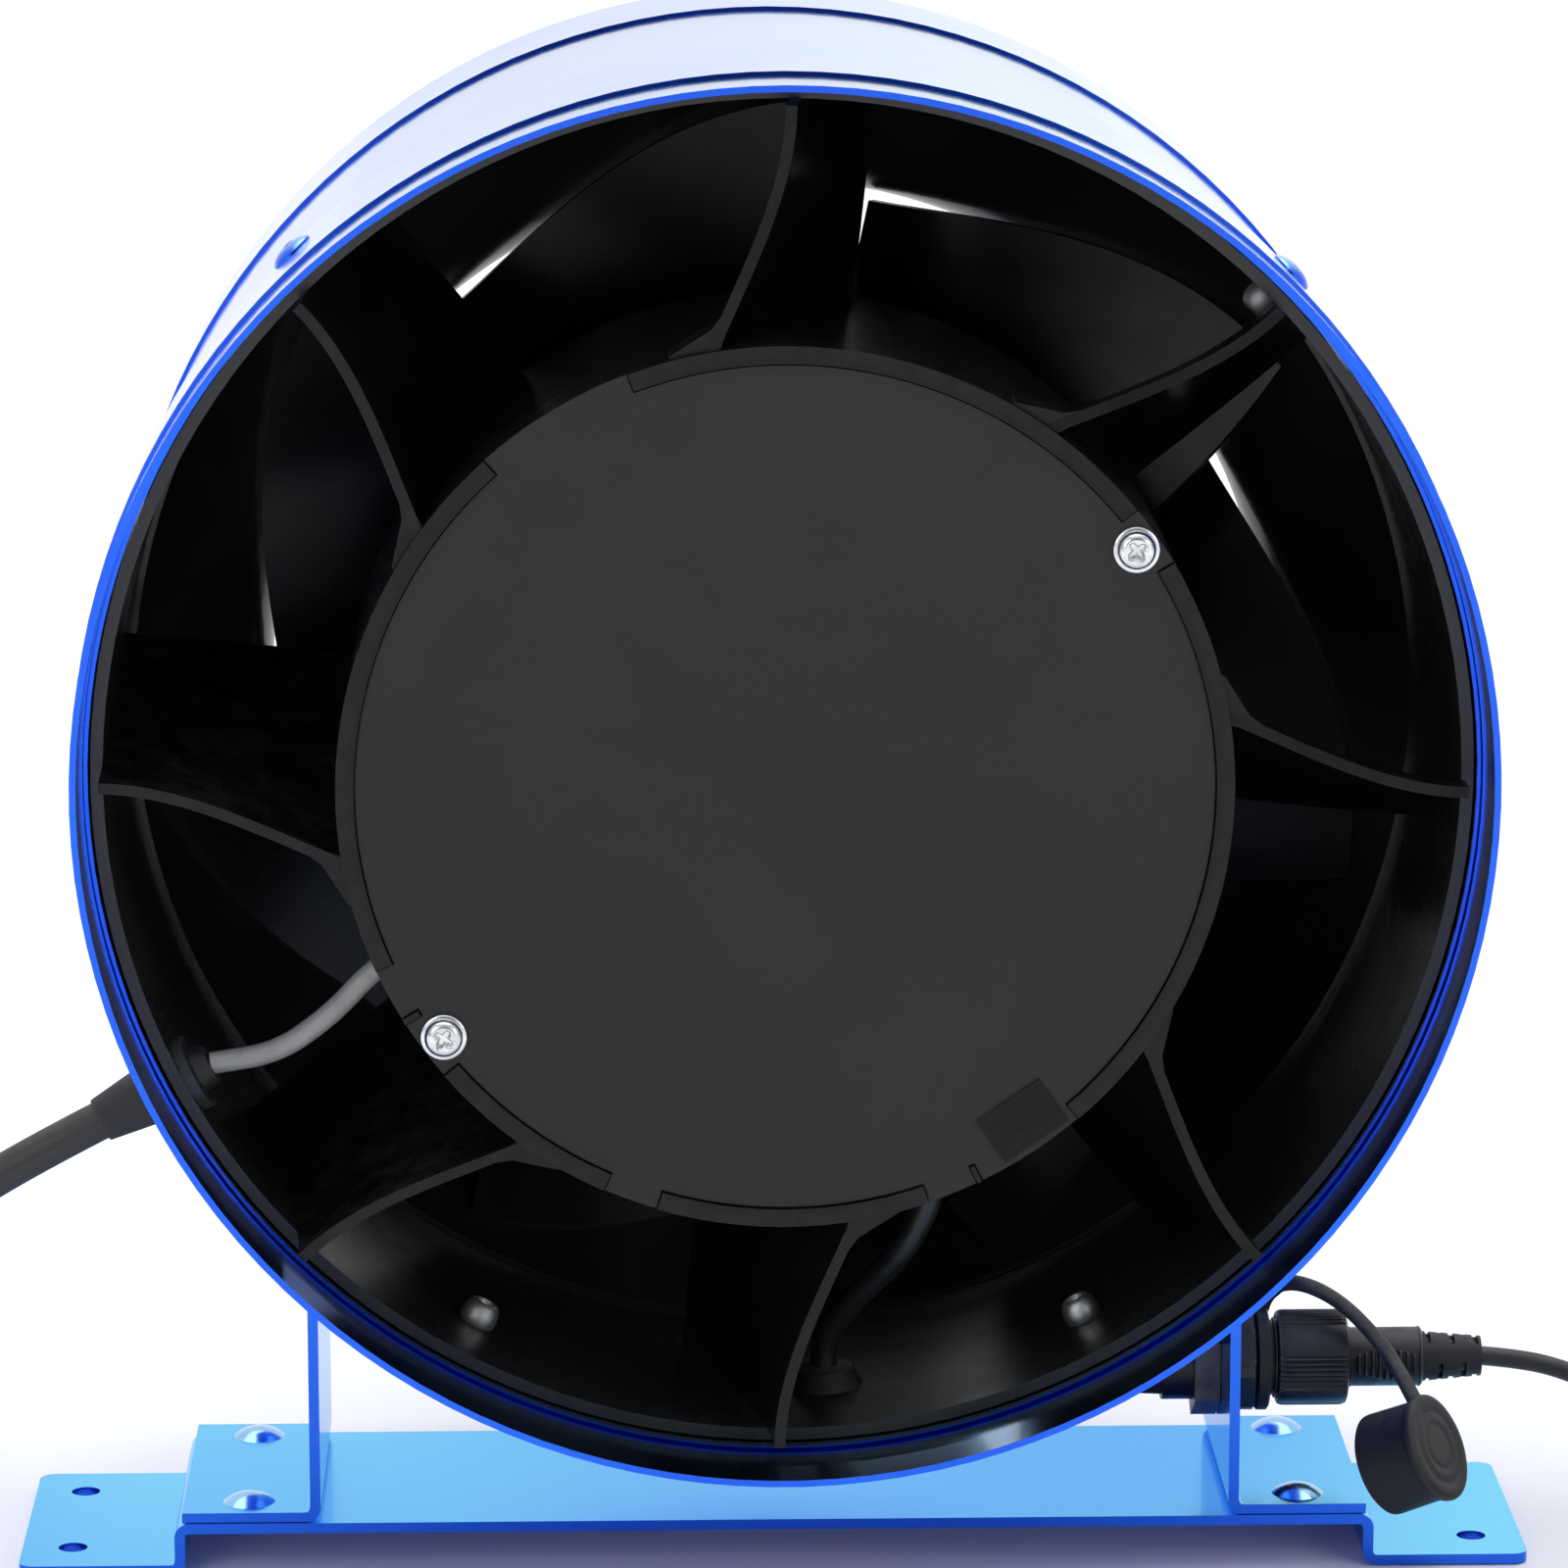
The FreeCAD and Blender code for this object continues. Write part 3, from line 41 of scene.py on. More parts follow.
SIGNAL_TAIL = [(183.2, 33, 17.1), (183.6, 24.5, 16.8), (185.2, 16, 15.4), (188.3, 8.5, 12.8),
               (191.8, 2, 10.8), (194, -4, 10)]
CAP_STRAP = [(95.5, 19.5, 42.6), (96.6, 19, 47.6), (102.5, 17, 49.2), (110, 13.5, 46.4),
             (116.5, 7, 41), (120.6, 0, 36), (123.8, -8, 30)]
MAINS_CORD, CONTROLLER_CORD = 7.2, 3.8
TURN_POINTS = 16

# Casing: the height of the duct's middle, and where the outlet rim is
DUCT_Z, OUTLET_Y = 168, -89
COVER_SCREWS = dict(angles=(35, 216), ring=75.2, sunk=8.2)
COLLAR_RIVETS = dict(angles=(43.6, 133.6, 242.3, 297.7), depth=43, inside=121.3, outside=126.5)

# Connector on the right leg: it is turned about a line along X
LEG_X, SOCKET_Y, SOCKET_Z = 89, 19.5, 33
SOCKET_AT = (0, SOCKET_Y, SOCKET_Z)

# Where the mains plug's face for the cord is, the foot of the knob, and the controller cord's exit
PLUG_AT, KNOB_AT, CONTROLLER_EXIT = (-212, 54, 12), (194, -45, 24), (194, -14, 10)

FLOOR_REACH, FLOOR_Z = 60000, -0.3
DUST = (0.30, 0.29, 0.27, 1)


# ---- camera, floor and light -------------------------------------------------------------------

def make_camera():
    camera = bpy.data.objects.new("camera", bpy.data.cameras.new("camera"))
    camera.data.sensor_width = 36
    camera.data.lens = 157.3
    camera.data.clip_end = 60
    camera.location = (-0.033, -1.264, 0.421)
    camera.rotation_euler = Vector((0.0270, 0.9777, -0.2079)).to_track_quat("-Z", "Y").to_euler()
    bpy.context.scene.collection.objects.link(camera)
    bpy.context.scene.camera = camera


def add_light(name, kind, place, aim, energy, **settings):
    light = bpy.data.lights.new(name, kind)
    light.energy = energy
    for key, value in settings.items():
        setattr(light, key, value)
    lamp = bpy.data.objects.new(name, light)
    lamp.location = place
    lamp.rotation_euler = (Vector(aim) - Vector(place)).to_track_quat("-Z", "Y").to_euler()
    bpy.context.scene.collection.objects.link(lamp)


def make_studio():
    """A pale floor under a soft sky that is brighter above and behind the fan than in front."""
    bpy.context.scene.view_settings.view_transform = "Standard"
    add_light("overhead", "SUN", (0, 0.15, 2), (0, 0, 0), 1.5, angle=radians(70))
    add_light("front_left", "AREA", (-0.9, -1.3, 0.75), (0, 0, 0.15), 5, size=0.9)
    add_light("front_right", "AREA", (1.0, -1.1, 0.6), (0, 0, 0.15), 3.5, size=0.8)

    world = bpy.data.worlds.new("studio")
    bpy.context.scene.world = world
    world.use_nodes = True
    tree = world.node_tree
    background = tree.nodes["Background"]
    background.inputs["Color"].default_value = (1, 1, 1, 1)
    place = tree.nodes.new("ShaderNodeTexCoord")
    rise = tree.nodes.new("ShaderNodeVectorMath")
    rise.operation = "DOT_PRODUCT"
    rise.inputs[1].default_value = (0, 0.75, 0.66)
    ramp = tree.nodes.new("ShaderNodeMapRange")
    ramp.interpolation_type = "SMOOTHSTEP"
    ramp.inputs["From Min"].default_value = -0.7
    ramp.inputs["From Max"].default_value = 0.6
    ramp.inputs["To Min"].default_value = 0.12
    ramp.inputs["To Max"].default_value = 1.05
    tree.links.new(place.outputs["Generated"], rise.inputs[0])
    tree.links.new(rise.outputs["Value"], ramp.inputs["Value"])
    tree.links.new(ramp.outputs["Result"], background.inputs["Strength"])


# ---- shared effects ----------------------------------------------------------------------------

class Nodes:
    """A node tree with short ways to add and join nodes."""

    def __init__(self, tree):
        self.tree = tree

    def add(self, kind, settings=None, **inputs):
        node = self.tree.nodes.new(kind)
        for key, value in (settings or {}).items():
            setattr(node, key, value)
        for key, value in inputs.items():
            self.feed(value, node.inputs[key.replace("_", " ")])
        return node

    def feed(self, value, socket):
        if isinstance(value, bpy.types.NodeSocket):
            self.tree.links.new(value, socket)
        elif isinstance(value, bpy.types.Node):
            self.tree.links.new(value.outputs[0], socket)
        else:
            socket.default_value = value

    def math(self, operation, *values, clamp=False):
        node = self.tree.nodes.new("ShaderNodeMath")
        node.operation = operation
        node.use_clamp = clamp
        for value, socket in zip(values, node.inputs):
            self.feed(value, socket)
        return node.outputs[0]

    def spread(self, value, low, high, to_low=0.0, to_high=1.0):
        """The value stretched from one range to another, held at its ends."""
        node = self.add("ShaderNodeMapRange", {"interpolation_type": "SMOOTHSTEP"},
                        Value=value, From_Min=low, From_Max=high, To_Min=to_low, To_Max=to_high)
        return node.outputs["Result"]

    def mix(self, factor, first, second):
        node = self.add("ShaderNodeMix", {"data_type": "RGBA"})
        self.feed(factor, node.inputs[0])
        self.feed(first, node.inputs[6])
        self.feed(second, node.inputs[7])
        return node.outputs[2]


def effect_group(name, inputs, outputs):
    """A shader node group with float inputs {name: value}, and its tree, input and output nodes."""
    group = bpy.data.node_groups.new(name, "ShaderNodeTree")
    for key, value in inputs.items():
        socket = group.interface.new_socket(key, in_out="INPUT", socket_type="NodeSocketFloat")
        socket.default_value = value
    for key in outputs:
        group.interface.new_socket(key, in_out="OUTPUT", socket_type="NodeSocketFloat")
    tree = Nodes(group)
    return group, tree, tree.add("NodeGroupInput").outputs, tree.add("NodeGroupOutput").inputs


def make_grain():
    """Fine surface grain: the spark-eroded texture of a mould, or the orange peel of a coat."""
    group, tree, given, out = effect_group("surface_grain", {"Grains per metre": 1500},
                                           ("Height", "Speckle"))
    place = tree.add("ShaderNodeTexCoord").outputs["Object"]
    coarse = tree.add("ShaderNodeTexNoise", Vector=place, Scale=given[0], Detail=3.0,
                      Roughness=0.6).outputs[0]
    fine = tree.add("ShaderNodeTexNoise", Vector=place, Scale=tree.math("MULTIPLY", given[0], 2.7),
                    Detail=2.0).outputs[0]
    tree.feed(tree.math("ADD", tree.math("MULTIPLY", coarse, 0.65),
                        tree.math("MULTIPLY", fine, 0.35)), out["Height"])
    tree.feed(tree.spread(fine, 0.42, 0.62), out["Speckle"])
    return group


def make_patches():
    """Large soft patches, as where a surface has been handled or a melt has flowed unevenly."""
    group, tree, given, out = effect_group("soft_patches", {"Patches per metre": 30}, ("Mask",))
    place = tree.add("ShaderNodeTexCoord").outputs["Object"]
    broad = tree.add("ShaderNodeTexNoise", Vector=place, Scale=given[0], Detail=4.0,
                     Roughness=0.65, Distortion=0.6).outputs[0]
    tree.feed(tree.spread(broad, 0.35, 0.68), out["Mask"])
    return group


def make_edge_wear():
    """Lighter, rubbed edges: outward corners, broken up by noise."""
    group, tree, given, out = effect_group("edge_wear", {"Edge": 0.53, "Breaks per metre": 220},
                                           ("Mask",))
    sharpness = tree.add("ShaderNodeNewGeometry").outputs["Pointiness"]
    place = tree.add("ShaderNodeTexCoord").outputs["Object"]
    breaks = tree.add("ShaderNodeTexNoise", Vector=place, Scale=given["Breaks per metre"],
                      Detail=3.0).outputs[0]
    edge = tree.spread(sharpness, given["Edge"], tree.math("ADD", given["Edge"], 0.07))
    tree.feed(tree.math("MULTIPLY", edge, tree.spread(breaks, 0.3, 0.6, 0.35, 1.0)), out["Mask"])
    return group


def make_dust():
    """Thin dust that has settled on faces that look up."""
    group, tree, given, out = effect_group("settled_dust", {"Amount": 0.2}, ("Mask",))
    normal = tree.add("ShaderNodeNewGeometry").outputs["Normal"]
    upward = tree.add("ShaderNodeSeparateXYZ", Vector=normal).outputs["Z"]
    place = tree.add("ShaderNodeTexCoord").outputs["Object"]
    clumps = tree.add("ShaderNodeTexNoise", Vector=place, Scale=160.0, Detail=6.0,
                      Roughness=0.75).outputs[0]
    settled = tree.math("MULTIPLY", tree.spread(upward, 0.35, 0.95),
                        tree.spread(clumps, 0.42, 0.66))
    tree.feed(tree.math("MULTIPLY", settled, given["Amount"]), out["Mask"])
    return group


def make_painted_top_sheen():
    """Painted highlight: faces that look up get a lighter colour, in long soft streaks, standing in
    for the light that falls on the top.
    """
    group, tree, given, out = effect_group("painted_top_sheen", {"From": 0.3}, ("Mask",))
    normal = tree.add("ShaderNodeNewGeometry").outputs["Normal"]
    upward = tree.add("ShaderNodeSeparateXYZ", Vector=normal).outputs["Z"]
    place = tree.add("ShaderNodeTexCoord").outputs["Object"]
    drawn = tree.add("ShaderNodeMapping", Vector=place, Scale=(1, 0.3, 1))
    streaks = tree.add("ShaderNodeTexNoise", Vector=drawn, Scale=9.0, Detail=0.0).outputs[0]
    facing = tree.spread(upward, given["From"], tree.math("ADD", given["From"], 0.6))
    tree.feed(tree.math("MULTIPLY", facing, tree.spread(streaks, 0.3, 0.66, 0.45, 1.0)),
              out["Mask"])
    return group


def make_brushing():
    """Fine lines along X, as left by a belt or a turning tool."""
    group, tree, given, out = effect_group("brushed_lines", {"Lines per metre": 4000}, ("Height",))
    place = tree.add("ShaderNodeTexCoord").outputs["Object"]
    drawn = tree.add("ShaderNodeMapping", Vector=place, Scale=(0.03, 1, 1))
    lines = tree.add("ShaderNodeTexNoise", Vector=drawn, Scale=given[0], Detail=2.0)
    tree.feed(lines, out["Height"])
    return group


def make_weave():
    """A plain weave of threads in the Y plane, over and under by turns."""
    group, tree, given, out = effect_group("plain_weave", {"Threads per metre": 1600}, ("Height",))
    place = tree.add("ShaderNodeTexCoord").outputs["Object"]
    axes = tree.add("ShaderNodeSeparateXYZ", Vector=place).outputs
    turn = tree.math("MULTIPLY", given[0], pi)
    across = tree.math("SINE", tree.math("MULTIPLY", axes["X"], turn))
    along = tree.math("SINE", tree.math("MULTIPLY", axes["Z"], turn))
    tree.feed(tree.math("MULTIPLY_ADD", tree.math("MULTIPLY", across, along), 0.5, 0.5),
              out["Height"])
    return group


EFFECTS = {}


def place_effect(tree, name, **values):
    node = tree.add("ShaderNodeGroup", {"node_tree": EFFECTS[name]})
    for key, value in values.items():
        node.inputs[key.replace("_", " ")].default_value = value
    return node.outputs


# ---- materials ---------------------------------------------------------------------------------

def rgb(red, green, blue):
    return (red, green, blue, 1)


def surface(name, colour, second, roughness, metallic=0.0, specular=0.5, tint=rgb(1, 1, 1),
            coat=0.0, coat_roughness=0.05, grains=1500, relief=0.1, patches=30, worn=None,
            edge=0.53, dust=0.1, pattern="surface_grain", above=None, above_from=0.3):
    """A finish whose colour and roughness drift in patches, with grain, dust and, where worn is
    given, rubbed edges of that colour. above, if given, is a painted highlight: the lighter
    colour of faces that look up, standing in for the light that falls on the top."""
    material = bpy.data.materials.new(name)
    material.use_nodes = True
    tree = Nodes(material.node_tree)
    shader = material.node_tree.nodes["Principled BSDF"]
    drift = place_effect(tree, "soft_patches", Patches_per_metre=patches)["Mask"]
    grain = place_effect(tree, "surface_grain", Grains_per_metre=grains)
    height = grain["Height"]
    if pattern == "brushed_lines":
        height = place_effect(tree, "brushed_lines", Lines_per_metre=grains)["Height"]
    elif pattern == "plain_weave":
        height = place_effect(tree, "plain_weave", Threads_per_metre=grains)["Height"]
    shade = tree.mix(tree.math("MULTIPLY_ADD", grain["Speckle"], 0.25,
                               tree.math("MULTIPLY", drift, 0.75)), colour, second)
    smoothest, roughest = roughness
    rough = tree.math("ADD", tree.math("MULTIPLY", drift, roughest - smoothest), smoothest)
    # above is a painted highlight, mixed in on faces that look up
    if above:
        top_sheen_mask = place_effect(tree, "painted_top_sheen", From=above_from)["Mask"]
        shade = tree.mix(top_sheen_mask, shade, above)
    if worn:
        rubbed = place_effect(tree, "edge_wear", Edge=edge)["Mask"]
        shade = tree.mix(rubbed, shade, worn)
    settled = place_effect(tree, "settled_dust", Amount=dust)["Mask"]
    shade = tree.mix(settled, shade, DUST)
    rough = tree.math("ADD", rough, tree.math("MULTIPLY", settled, 0.4), clamp=True)
    tree.feed(shade, shader.inputs["Base Color"])
    tree.feed(rough, shader.inputs["Roughness"])
    bump = tree.add("ShaderNodeBump", Height=height, Strength=relief, Distance=0.0002)
    tree.feed(bump, shader.inputs["Normal"])
    shader.inputs["Metallic"].default_value = metallic
    shader.inputs["Specular IOR Level"].default_value = specular
    shader.inputs["Specular Tint"].default_value = tint
    shader.inputs["Coat Weight"].default_value = coat
    shader.inputs["Coat Roughness"].default_value = coat_roughness
    return material


def make_finishes():
    """One finish for each material slot of the record, and a few more for the small pieces."""
    for build in (make_grain, make_patches, make_edge_wear, make_dust, make_painted_top_sheen,
                  make_brushing, make_weave):
        group = build()
        EFFECTS[group.name] = group
    steel_blue = dict(metallic=1.0, coat=0.5, coat_roughness=0.06, grains=900, relief=0.04,
                      patches=9, dust=0.02)
    return {
        # The casing's above colour is a painted highlight: lighter tops for the light falling from
        # above.
        "blue_casing": surface("blue_casing", rgb(0.005, 0.085, 0.72), rgb(0.008, 0.13, 0.86),
                               (0.16, 0.22), above=rgb(0.42, 0.74, 0.95),
                               above_from=0.5, **steel_blue),
        # The bracket's above colour is a painted highlight: lighter tops for the light falling from
        # above.
        "blue_bracket": surface("blue_bracket", rgb(0.008, 0.12, 0.78), rgb(0.009, 0.14, 0.82),
                                (0.2, 0.22), above=rgb(0.24, 0.62, 0.9),
                                tint=rgb(0.35, 0.85, 1.0), **steel_blue),
        "plated_blue": surface("plated_blue", rgb(0.22, 0.48, 0.82), rgb(0.3, 0.55, 0.85),
                               (0.15, 0.25), metallic=1.0, coat=0.6, grains=2400, relief=0.1,
                               patches=150, worn=rgb(0.03, 0.15, 0.7), edge=0.56),
        # black_moulding's worn colour is partly rubbed edge wear and partly a painted highlight
        # along the vanes' front edges.
        "black_moulding": surface("black_moulding", rgb(0.0018, 0.0018, 0.002),
                                  rgb(0.003, 0.003, 0.003), (0.26, 0.34), specular=0.2,
                                  grains=2200, relief=0.12, patches=24, dust=0.03,
                                  worn=rgb(0.008, 0.008, 0.0085)),
        "glossy_liner": surface("glossy_liner", rgb(0.009, 0.009, 0.0095),
                                rgb(0.014, 0.014, 0.0145), (0.24, 0.34), specular=0.5, grains=1300,
                                relief=0.08, patches=18, dust=0.02),
        "grey_cover": surface("grey_cover", rgb(0.011, 0.011, 0.0113), rgb(0.016, 0.016, 0.0163),
                              (0.5, 0.56), specular=0.3, grains=1700, relief=0.15, patches=9,
                              dust=0.05),
        "bright_zinc": surface("bright_zinc", rgb(0.72, 0.73, 0.75), rgb(0.55, 0.56, 0.58),
                               (0.18, 0.3), metallic=1.0, grains=3000, relief=0.1, patches=300,
                               dust=0.05),
        "foam_tape": surface("foam_tape", rgb(0.006, 0.006, 0.006), rgb(0.014, 0.014, 0.014),
                             (0.75, 0.9), specular=0.2, grains=1600, relief=0.5, patches=120,
                             pattern="plain_weave"),
        "cast_aluminium": surface("cast_aluminium", rgb(0.5, 0.51, 0.52), rgb(0.38, 0.39, 0.4),
                                  (0.45, 0.6), metallic=1.0, grains=1200, relief=0.4, patches=60),
        "bearing_steel": surface("bearing_steel", rgb(0.6, 0.6, 0.61), rgb(0.5, 0.5, 0.51),
                                 (0.12, 0.22), metallic=1.0, grains=4000, relief=0.1,
                                 pattern="brushed_lines"),
        "electrical_steel": surface("electrical_steel", rgb(0.16, 0.16, 0.18), rgb(0.09, 0.09, 0.1),
                                    (0.35, 0.5), metallic=0.9, grains=2500, relief=0.2,
                                    pattern="brushed_lines"),
        "enamelled_copper": surface("enamelled_copper", rgb(0.5, 0.17, 0.05), rgb(0.36, 0.1, 0.03),
                                    (0.2, 0.35), metallic=0.9, coat=0.6, grains=3000, relief=0.5,
                                    pattern="brushed_lines"),
        "ferrite": surface("ferrite", rgb(0.03, 0.03, 0.032), rgb(0.05, 0.05, 0.05), (0.5, 0.7),
                           metallic=0.3, grains=2600, relief=0.4),
        "green_board": surface("green_board", rgb(0.006, 0.1, 0.03), rgb(0.01, 0.15, 0.05),
                               (0.25, 0.4), coat=0.4, grains=2000, relief=0.2, patches=160),
        "white_nylon": surface("white_nylon", rgb(0.7, 0.69, 0.64), rgb(0.6, 0.59, 0.54),
                               (0.4, 0.55), grains=1800),
        "black_rubber": surface("black_rubber", rgb(0.008, 0.009, 0.011), rgb(0.016, 0.017, 0.02),
                                (0.5, 0.66), specular=0.4, grains=1900, relief=0.25, patches=70,
                                dust=0.12, worn=rgb(0.04, 0.042, 0.046)),
        "black_jacket": surface("black_jacket", rgb(0.008, 0.008, 0.009), rgb(0.016, 0.016, 0.017),
                                (0.36, 0.5), grains=1400, relief=0.15, patches=60, dust=0.08),
        "grey_jacket": surface("grey_jacket", rgb(0.34, 0.34, 0.33), rgb(0.25, 0.25, 0.24),
                               (0.35, 0.5), grains=1400, relief=0.1, patches=110, dust=0.1),
        "black_nylon": surface("black_nylon", rgb(0.007, 0.007, 0.008), rgb(0.015, 0.015, 0.017),
                               (0.34, 0.5), grains=2600, relief=0.25, patches=130, dust=0.08,
                               worn=rgb(0.09, 0.09, 0.095)),
        "plug_plastic": surface("plug_plastic", rgb(0.01, 0.01, 0.011), rgb(0.018, 0.018, 0.019),
                                (0.25, 0.4), grains=1700, relief=0.15, patches=60, dust=0.1,
                                worn=rgb(0.05, 0.05, 0.05)),
        "plug_brass": surface("plug_brass", rgb(0.66, 0.62, 0.52), rgb(0.5, 0.46, 0.38),
                              (0.2, 0.36), metallic=1.0, grains=3000, relief=0.2, patches=220,
                              pattern="brushed_lines"),
        "controller_plastic": surface("controller_plastic", rgb(0.014, 0.014, 0.015),
                                      rgb(0.022, 0.022, 0.023), (0.4, 0.52), grains=1500,
                                      relief=0.35, patches=40, dust=0.06),
        "pot_metal": surface("pot_metal", rgb(0.5, 0.5, 0.5), rgb(0.4, 0.4, 0.4), (0.3, 0.45),
                             metallic=1.0, grains=3000, relief=0.2),
        "white_print": surface("white_print", rgb(0.62, 0.62, 0.6), rgb(0.5, 0.5, 0.48),
                               (0.5, 0.6), grains=2500),
        "studio_floor": surface("studio_floor", rgb(0.86, 0.87, 0.88), rgb(0.89, 0.89, 0.9),
                                (0.7, 0.8), grains=300, relief=0.05, patches=2, dust=0.0),
    }


# ---- mesh makers -------------------------------------------------------------------------------

def piece(name, points, faces, finish, body, replaced=(), sharp=35):
    """A mesh piece from points in millimetres, finished, riding on a body."""
    mesh = bpy.data.meshes.new(name)
    mesh.from_pydata([Vector(point) * MM for point in points], [], faces)
    mesh.validate()
    mesh.polygons.foreach_set("use_smooth", [True] * len(mesh.polygons))
    mesh.set_sharp_from_angle(angle=radians(sharp))
    mesh.materials.append(finishes[finish])
    made = bpy.data.objects.new(name, mesh)
    bpy.context.scene.collection.objects.link(made)
    if body:
        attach(made, body)
    if replaced:
        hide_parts(*replaced)
    return made


def axes_at(origin, along, up=(0, 0, 1)):
    """A frame whose Z runs along a direction, with X as near as it can be to up."""
    z = Vector(along).normalized()
    x = (Vector(up) - z * z.dot(Vector(up))).normalized()
    y = z.cross(x)
    return Matrix.Translation(Vector(origin)) @ Matrix((x, y, z)).transposed().to_4x4()


def turned(place, profile, around=96, shaped=None, closed=False):
    """Points and faces of a profile of (distance along Z, radius) turned about Z. shaped, if
    given, changes a radius by (distance, angle, radius)."""
    points, faces = [], []
    for along, radius in profile:
        for step in range(around):
            angle = 2 * pi * step / around
            here = shaped(along, angle, radius) if shaped else radius
            points.append(place @ Vector((here * cos(angle), here * sin(angle), along)))
    rows = len(profile)
    for row in range(rows if closed else rows - 1):
        for step in range(around):
            following = (step + 1) % around
            above = (row + 1) % rows
            faces.append((row * around + step, row * around + following,
                          above * around + following, above * around + step))
    if not closed:
        faces.append(tuple(reversed(range(around))))
        faces.append(tuple(range((rows - 1) * around, rows * around)))
    return points, faces


def joined(*parts):
    points, faces = [], []
    for part_points, part_faces in parts:
        faces += [tuple(index + len(points) for index in face) for face in part_faces]
        points += part_points
    return points, faces


def cord_curve(name, points, diameter, finish, body):
    """A cord as one NURBS spline with the route's points as its control points."""
    curve = bpy.data.curves.new(name, "CURVE")
    curve.dimensions = "3D"
    spline = curve.splines.new("NURBS")
    spline.points.add(len(points) - 1)
    for control, point in zip(spline.points, points):
        control.co = (*(Vector(point) * MM), 1)
    spline.order_u = 3
    spline.use_endpoint_u = True
    curve.resolution_u = 8
    curve.bevel_depth = diameter * MM / 2
    curve.bevel_resolution = 6
    curve.use_fill_caps = True
    curve.materials.append(finishes[finish])
    made = bpy.data.objects.new(name, curve)
    bpy.context.scene.collection.objects.link(made)
    if body:
        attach(made, body)
    return made


def spline_points(curve_object):
    """The points along a curve object's own line, in millimetres."""
    depth = curve_object.data.bevel_depth
    curve_object.data.bevel_depth = 0
    line = bpy.data.meshes.new_from_object(curve_object)
    curve_object.data.bevel_depth = depth
    return [vertex.co / MM for vertex in line.vertices]


def wound(middle, diameter, rings, layers, start, turned_by, slot_angle):
    """The turns of a coil, each on one of two rings. A turn ends early, so that the shift to the
    next ring or layer misses the shift below it."""
    places = [(1, 0), (0, 0)]
    for layer in range(1, layers):
        places += [(0, layer), (1, layer)]
    rise = cos(pi / TURN_POINTS)
    count = round(abs(turned_by) / 360 * TURN_POINTS)
    shift = 360 - slot_angle
    points = []
    for step in range(1, count):
        wound_on = abs(turned_by) * step / count
        turn = int(wound_on // slot_angle)
        part = max(0, (wound_on - turn * slot_angle - (slot_angle - shift)) / shift)
        part = part * part * (3 - 2 * part)
        here, following = places[turn], places[min(turn + 1, len(places) - 1)]
        radius = rings[here[0]] + (rings[following[0]] - rings[here[0]]) * part
        layer = here[1] + (following[1] - here[1]) * part
        angle = radians(start) + radians(wound_on) * (1 if turned_by > 0 else -1)
        points.append((middle[0] + radius / rise * cos(angle),
                       middle[1] + radius / rise * sin(angle), diameter * (0.5 + layer)))
    return points


def make_cords():
    """The mains cord with its plug and the controller's cord, each wound up out of the way."""
    coil = wound((-240, -20), MAINS_CORD, (37.8, 45), 3, -95, -1885, 320)
    power = cord_curve("mains_cord", POWER_LEAD + coil + POWER_TAIL, MAINS_CORD, "black_jacket",
                       "casing")
    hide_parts("power_cord", "power_cord_coil", "power_cord_tail")
    coil = wound((206, 33), CONTROLLER_CORD, (19, 22.8), 5, -90, 3150, 330)
    signal = cord_curve("controller_cord", SIGNAL_LEAD + coil + SIGNAL_TAIL, CONTROLLER_CORD,
                        "black_jacket", "casing")
    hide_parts("signal_cord", "signal_cord_coil", "signal_cord_tail")
    return power, signal


# ---- screws and connector ----------------------------------------------------------------------

def make_cover_screws():
    """Pan-head screws with a washer face and a six-lobed recess."""
    parts = []
    ring = COVER_SCREWS["ring"]
    for angle in COVER_SCREWS["angles"]:
        turn = radians(angle)
        middle = (ring * cos(turn), OUTLET_Y + COVER_SCREWS["sunk"], DUCT_Z + ring * sin(turn))
        place = axes_at(middle, (0, -1, 0))
        profile = [(-0.05, 4.15), (0.55, 4.15), (0.75, 4.0), (0.8, 3.5), (0.95, 3.42), (1.6, 3.3),
                   (2.05, 2.9), (2.3, 2.45)]
        profile += [(2.4, radius) for radius in (2.2, 2.0, 1.8, 1.6, 1.4, 1.2, 1.0, 0.8, 0.6, 0.3)]
        points, faces = turned(place, profile, 96)
        sunk = []
        inverse = place.inverted()
        for point in points:
            local = inverse @ point
            across, round_it = sqrt(local.x ** 2 + local.y ** 2), atan2(local.y, local.x)
            lobe = 1.35 + 0.45 * cos(4 * round_it + angle)
            if across < 2.3 and local.z > 2:
                local.z -= 1.2 / (1 + exp((across - lobe) * 14))
            sunk.append(place @ local)
        parts.append((sunk, faces))
    points, faces = joined(*parts)
    piece("cover_screw_heads", points, faces, "bright_zinc", "casing", ("cover_screws",), sharp=50)


